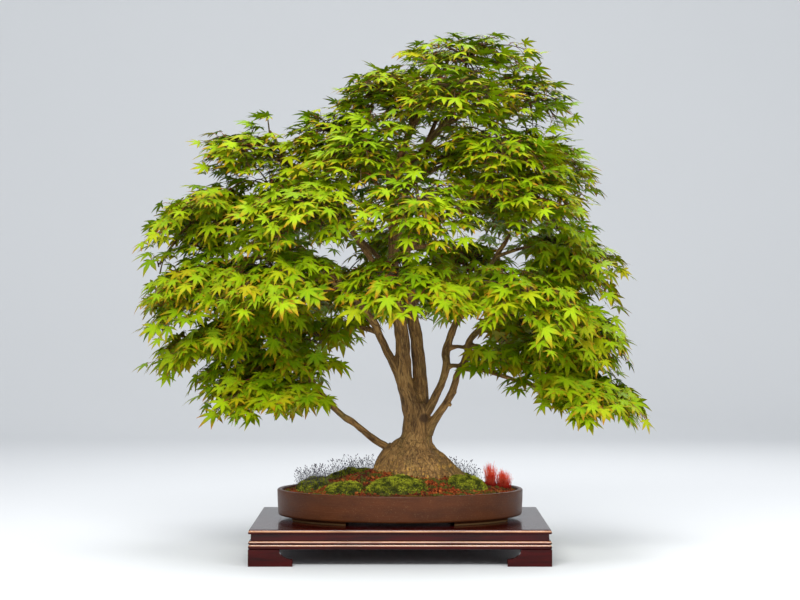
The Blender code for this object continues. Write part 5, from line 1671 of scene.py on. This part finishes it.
    def __post_init__(self) -> None:
        """Reads the pads and builds the leaf forms."""
        axis = np.array(self.crown_axis) + self.wood.shift[:2]
        self.axis = axis
        self.pads = [PadPlan.measured(node, axis, *feeder, self.shallow.get(node, self.depth))
                     for node, feeder in self.feeders.items()]
        self.hub = np.zeros(())
        for pad in self.pads:
            short = (1.0 - self.drawn_in.get(pad.name, 1.0)) * pad.half[0]
            pad.half[0] -= short
            pad.centre[0] -= short
        self.loose = [PadPlan.loose(sprig, self.wood.shift, axis) for sprig in self.sprigs]
        low, high = (np.array(corner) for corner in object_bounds())
        margin = 0.03 * (high - low) + 0.005
        self.room = np.array([low - margin, high + margin])
        self.forms = [kind.value.build() for kind in LeafKind]

    def branch(self, pad: PadPlan) -> np.ndarray:
        """Rows of a branch from its limb to its pad: it leaves outwards, rises and levels out."""
        limb = self.wood.routes[pad.limb]
        start = limb[int(pad.share * (len(limb) - 1))]
        tip = pad.point(self.hub, self.hub, np.array(-0.2))
        span = tip - start[:3]
        rise = UP * 0.10 * np.linalg.norm(span)
        thick = min(start[3] * 0.75, 0.0050)
        thin = max(thick * 0.5, 0.0021)
        steps = ((0.0, 0.0, thick * 1.25), (0.12, 0.3, thick * 0.95), (0.38, 0.75, (thick + thin) / 2),
                 (0.70, 1.0, thin * 1.1), (1.0, 0.0, thin))
        rows = [np.append(start[:3] + along * span + up * rise, radius) for along, up, radius in steps]
        return smooth_route(np.array(rows), 6)

    def twig_paths(self, pad: PadPlan, rng: Random) -> tuple[np.ndarray, np.ndarray]:
        """Twigs of a pad: bows from its hub to places spread over its top on a sunflower spiral.

        A bow is (1-t)^2 hub + 2t(1-t) knee + t^2 tip, with the knee raised above the halfway place.

        Returns:
            Paths of seven rows, and how far out each twig ends, in half sizes.
        """
        count = int(math.pi * pad.half[0] * pad.half[1] / self.spread**2)
        number = np.tile(np.arange(count) + 0.5, 2)
        under = np.repeat([0.0, 1.0], count)
        kept = rng.random(2 * count) > 0.04 + 0.34 * under
        radius = np.sqrt(number / count) * np.where(under, 0.94, 1.01)
        turn = number * GOLDEN_ANGLE + under * 1.3 + rng.normal(size=2 * count) * 0.15
        u, v = radius * np.cos(turn), radius * np.sin(turn)
        reach = 0.95 + 0.30 * rng.random(2 * count) ** 5 * (radius > 0.6)
        u, v = u * reach, v * reach
        tip = pad.point(u, v, 0.3 + rng.normal(size=2 * count) * 0.9)
        tip -= UP * (under * rng.uniform(0.3, 1.0, 2 * count) * pad.depth)[:, None]
        hub = pad.point(u * 0.08, v * 0.08, -0.5 - under)
        knee = (hub * 0.45 + tip * 0.55) + UP * (0.010 + 0.02 * radius)[:, None]
        t = np.linspace(0.0, 1.0, 7)[None, :, None]
        paths = (1 - t) ** 2 * hub[:, None] + 2 * t * (1 - t) * knee[:, None] + t**2 * tip[:, None]
        return paths[kept], radius[kept]

    def nodes_on(self, paths: np.ndarray, rng: Random) -> tuple[np.ndarray, np.ndarray]:
        """Numbers of the twig and of the place on it for every leaf: short twigs lack the rear places."""
        length, backs = self.lengths(paths), np.array(self.pair_backs)
        twig, slot = (number.ravel() for number in np.indices((len(paths), len(backs))))
        keep = (backs[slot] < 0.72 * length[twig]) & (rng.random(len(twig)) > 0.04)
        return twig[keep], slot[keep]

    def lengths(self, paths: np.ndarray) -> np.ndarray:
        """Length of each twig."""
        return np.linalg.norm(np.diff(paths, axis=1), axis=2).sum(axis=1)

    def hung(self, level: np.ndarray, height: np.ndarray, radius: np.ndarray, ends: np.ndarray,
             rng: Random) -> np.ndarray:
        """Turn matrices of blades: each hangs down from its level way, rolls sideways and has its size.

        Args:
            level: the way each blade points, seen from above.
            height: height of its stalk, as lower leaves hang more and are larger.
            radius: how far out its twig ends, as outer leaves hang more.
            ends: which blades end their twig and so are smaller.
            rng: source of the differences.
        """
        count = len(level)
        low = np.clip((self.low_from - height) / self.low_span, 0.0, 1.0)
        droop = -2.0 + 16.0 * low + (8.0 + 20.0 * low) * np.clip(radius, 0.3, 1.0)
        hang = np.radians(droop + rng.normal(size=count) * self.hang_spread)[:, None]
        ahead = level * np.cos(hang) - UP * np.sin(hang)
        face = level * np.sin(hang) + UP * np.cos(hang)
        right = np.cross(ahead, face)
        tilt = (rng.normal(size=count) * self.tilt_spread)[:, None]
        right, face = right * np.cos(tilt) + face * np.sin(tilt), face * np.cos(tilt) - right * np.sin(tilt)
        size = self.leaf_size * (0.90 + 0.12 * low) * rng.uniform(0.72, 1.22, count)
        size = size * np.where(ends, 0.86, 1.0)
        return np.stack([right, ahead, face], axis=2) * size[:, None, None]

    def fitting(self, turns: np.ndarray, places: np.ndarray) -> np.ndarray:
        """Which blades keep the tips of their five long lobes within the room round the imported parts."""
        angle = np.radians([-84.0, -42.0, 0.0, 42.0, 84.0])
        lobes = np.stack([np.sin(angle), np.cos(angle), np.zeros(5)]) * self.lobe_reach
        tips = places[:, None] + np.swapaxes(turns @ lobes, 1, 2)
        return np.all((tips > self.room[0]) & (tips < self.room[1]), axis=(1, 2))

    def leaves(self, pad: PadPlan, paths: np.ndarray, radius: np.ndarray,
               rng: Random) -> dict[str, np.ndarray]:
        """Where the leaves of a pad sit.

        Opposite pairs stand back from a twig's tip, each pair a quarter turn from the last, and one leaf
        ends the twig. A blade points outwards from its stalk.

        Returns:
            Stalk starts, bends and ends, the blades' turn matrices and how far out they are, by name.
        """
        twig, slot = self.nodes_on(paths, rng)
        last = paths.shape[1] - 1
        share = 1.0 - np.array(self.pair_backs)[slot] / self.lengths(paths)[twig]
        at = np.clip(share, 0.0, 1.0) * last
        row = np.minimum(at.astype(int), last - 1)
        part = (at - row)[:, None]
        start = paths[twig, row] * (1 - part) + paths[twig, row + 1] * part
        tangent = unit(paths[twig, row + 1] - paths[twig, row])
        side = unit(np.cross(tangent, UP))
        lift = np.cross(side, tangent)
        count = len(twig)
        roll = (np.array(self.pair_turns)[slot] * math.pi / 2 + rng.normal(size=count) * 0.35)[:, None]
        off = np.array(self.pair_signs)[slot][:, None] * (side * np.cos(roll) + lift * np.sin(roll))
        from_axis = unit(start[:, :2] - self.axis)
        from_hub = (start - pad.point(self.hub, self.hub, self.hub))[:, :2] / max(pad.half.max(), 0.01)
        outward = np.column_stack([unit(from_axis * 0.55 + from_hub * 0.8), np.zeros(count)])
        shake = rng.normal(size=(count, 3)) * 0.12
        way = unit(0.55 * tangent + 0.80 * off + 0.35 * UP + 0.25 * outward + shake)
        reach = rng.uniform(0.010, 0.024, count)[:, None]
        end = start + way * reach - UP * (reach * 0.22)
        shake = np.column_stack([rng.normal(size=(count, 2)) * 0.34, np.zeros(count)])
        level = unit(way * [1.0, 1.0, 0.0] * 0.75 + outward * 0.85 + shake)
        turns = self.hung(level, start[:, 2], radius[twig], slot == 0, rng)
        spots = {"start": start, "bend": start + way * (reach * 0.55), "end": end, "turns": turns,
                 "reach": radius[twig]}
        fits = self.fitting(turns, end)
        return {name: rows[fits] for name, rows in spots.items()}

    def blades(self, spots: dict[str, np.ndarray], rng: Random) -> Shape:
        """All blades of a pad, each on the tile of the leaf map that suits its place."""
        count, reach, most = len(spots["end"]), spots["reach"], self.tiles - 1
        kind = rng.choice(len(self.forms), count, p=self.kind_shares)
        age = np.clip(2.9 + 2.2 * reach + rng.normal(size=count) * 1.1, 0, most).astype(int)
        warm = np.clip(rng.exponential(2.0, count) + 3.4 * reach**3, 0, most).astype(int)
        shapes = []
        for number, (points, faces, places) in enumerate(self.forms):
            chosen = kind == number
            made = copies(points, faces, spots["turns"][chosen], spots["end"][chosen])
            tile = np.stack([warm[chosen], age[chosen]], axis=1)[:, None, None]
            made.spots = np.vstack([((tile + 0.04 + 0.92 * place) / self.tiles).reshape(-1, 2)
                                    for place in places])
            shapes.append(made)
        return Shape.joined(shapes)

    def build(self, bark: bpy.types.Material) -> None:
        """Makes the branches, twigs, stalks and leaves."""
        leaf, red = LeafFinish().material(), StalkFinish().material()
        branches, twigs, stalks, fillers = [], [], [], []
        for number, pad in enumerate(self.pads + self.loose):
            rng = np.random.default_rng(self.seed + number)
            route = self.branch(pad)
            branches.append(tubes(route[None, :, :3], route[None, :, 3], 9))
            paths, radius = self.twig_paths(pad, rng)
            radii = np.broadcast_to(np.linspace(0.0015, 0.0006, 7), paths.shape[:2])
            twigs.append(tubes(paths, radii, 5))
            spots = self.leaves(pad, paths, radius, rng)
            path = np.stack([spots["start"], spots["bend"], spots["end"]], axis=1)
            stalks.append(tubes(path, np.broadcast_to([0.00055, 0.00042, 0.00050], path.shape[:2]), 3))
            blades = self.blades(spots, rng)
            if number < len(self.pads):
                name = pad.name.replace("foliage", "leaves")
                show(name, blades.mesh(name), leaf, (pad.name,))
            else:
                fillers.append(blades)
        halves = fillers[:self.between], fillers[self.between:]
        for name, some in zip(("leaves_between", "leaves_outer"), halves):
            show(name, Shape.joined(some).mesh(name), leaf)
        wood = Shape.joined(branches)
        wood.marks["grain"] = wood.points * [1.0, 1.0, 0.4]
        show("branches", wood.mesh("branches"), bark)
        show("twigs", Shape.joined(twigs).mesh("twigs"), TwigFinish().material())
        show("leaf_stalks", Shape.joined(stalks).mesh("leaf_stalks"), red)


# ---------------------------------------------------------------- the whole


def main() -> None:
    """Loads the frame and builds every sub-assembly round it."""
    logging.basicConfig(level=logging.INFO, format="%(name)s: %(message)s")
    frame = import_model()
    low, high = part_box("pot")
    Studio().build((np.array(low) + np.array(high)) / 2)
    Stand().dress(frame)
    OvalPot().build(StonewareFinish().material())
    bark = BarkFinish().material()
    wood = Wood()
    soil = SoilBed()
    soil.build(wood.foot)
    MossGarden(soil).build()
    wood.build(bark)
    Foliage(wood).build(bark)


if __name__ == "__main__":
    main()
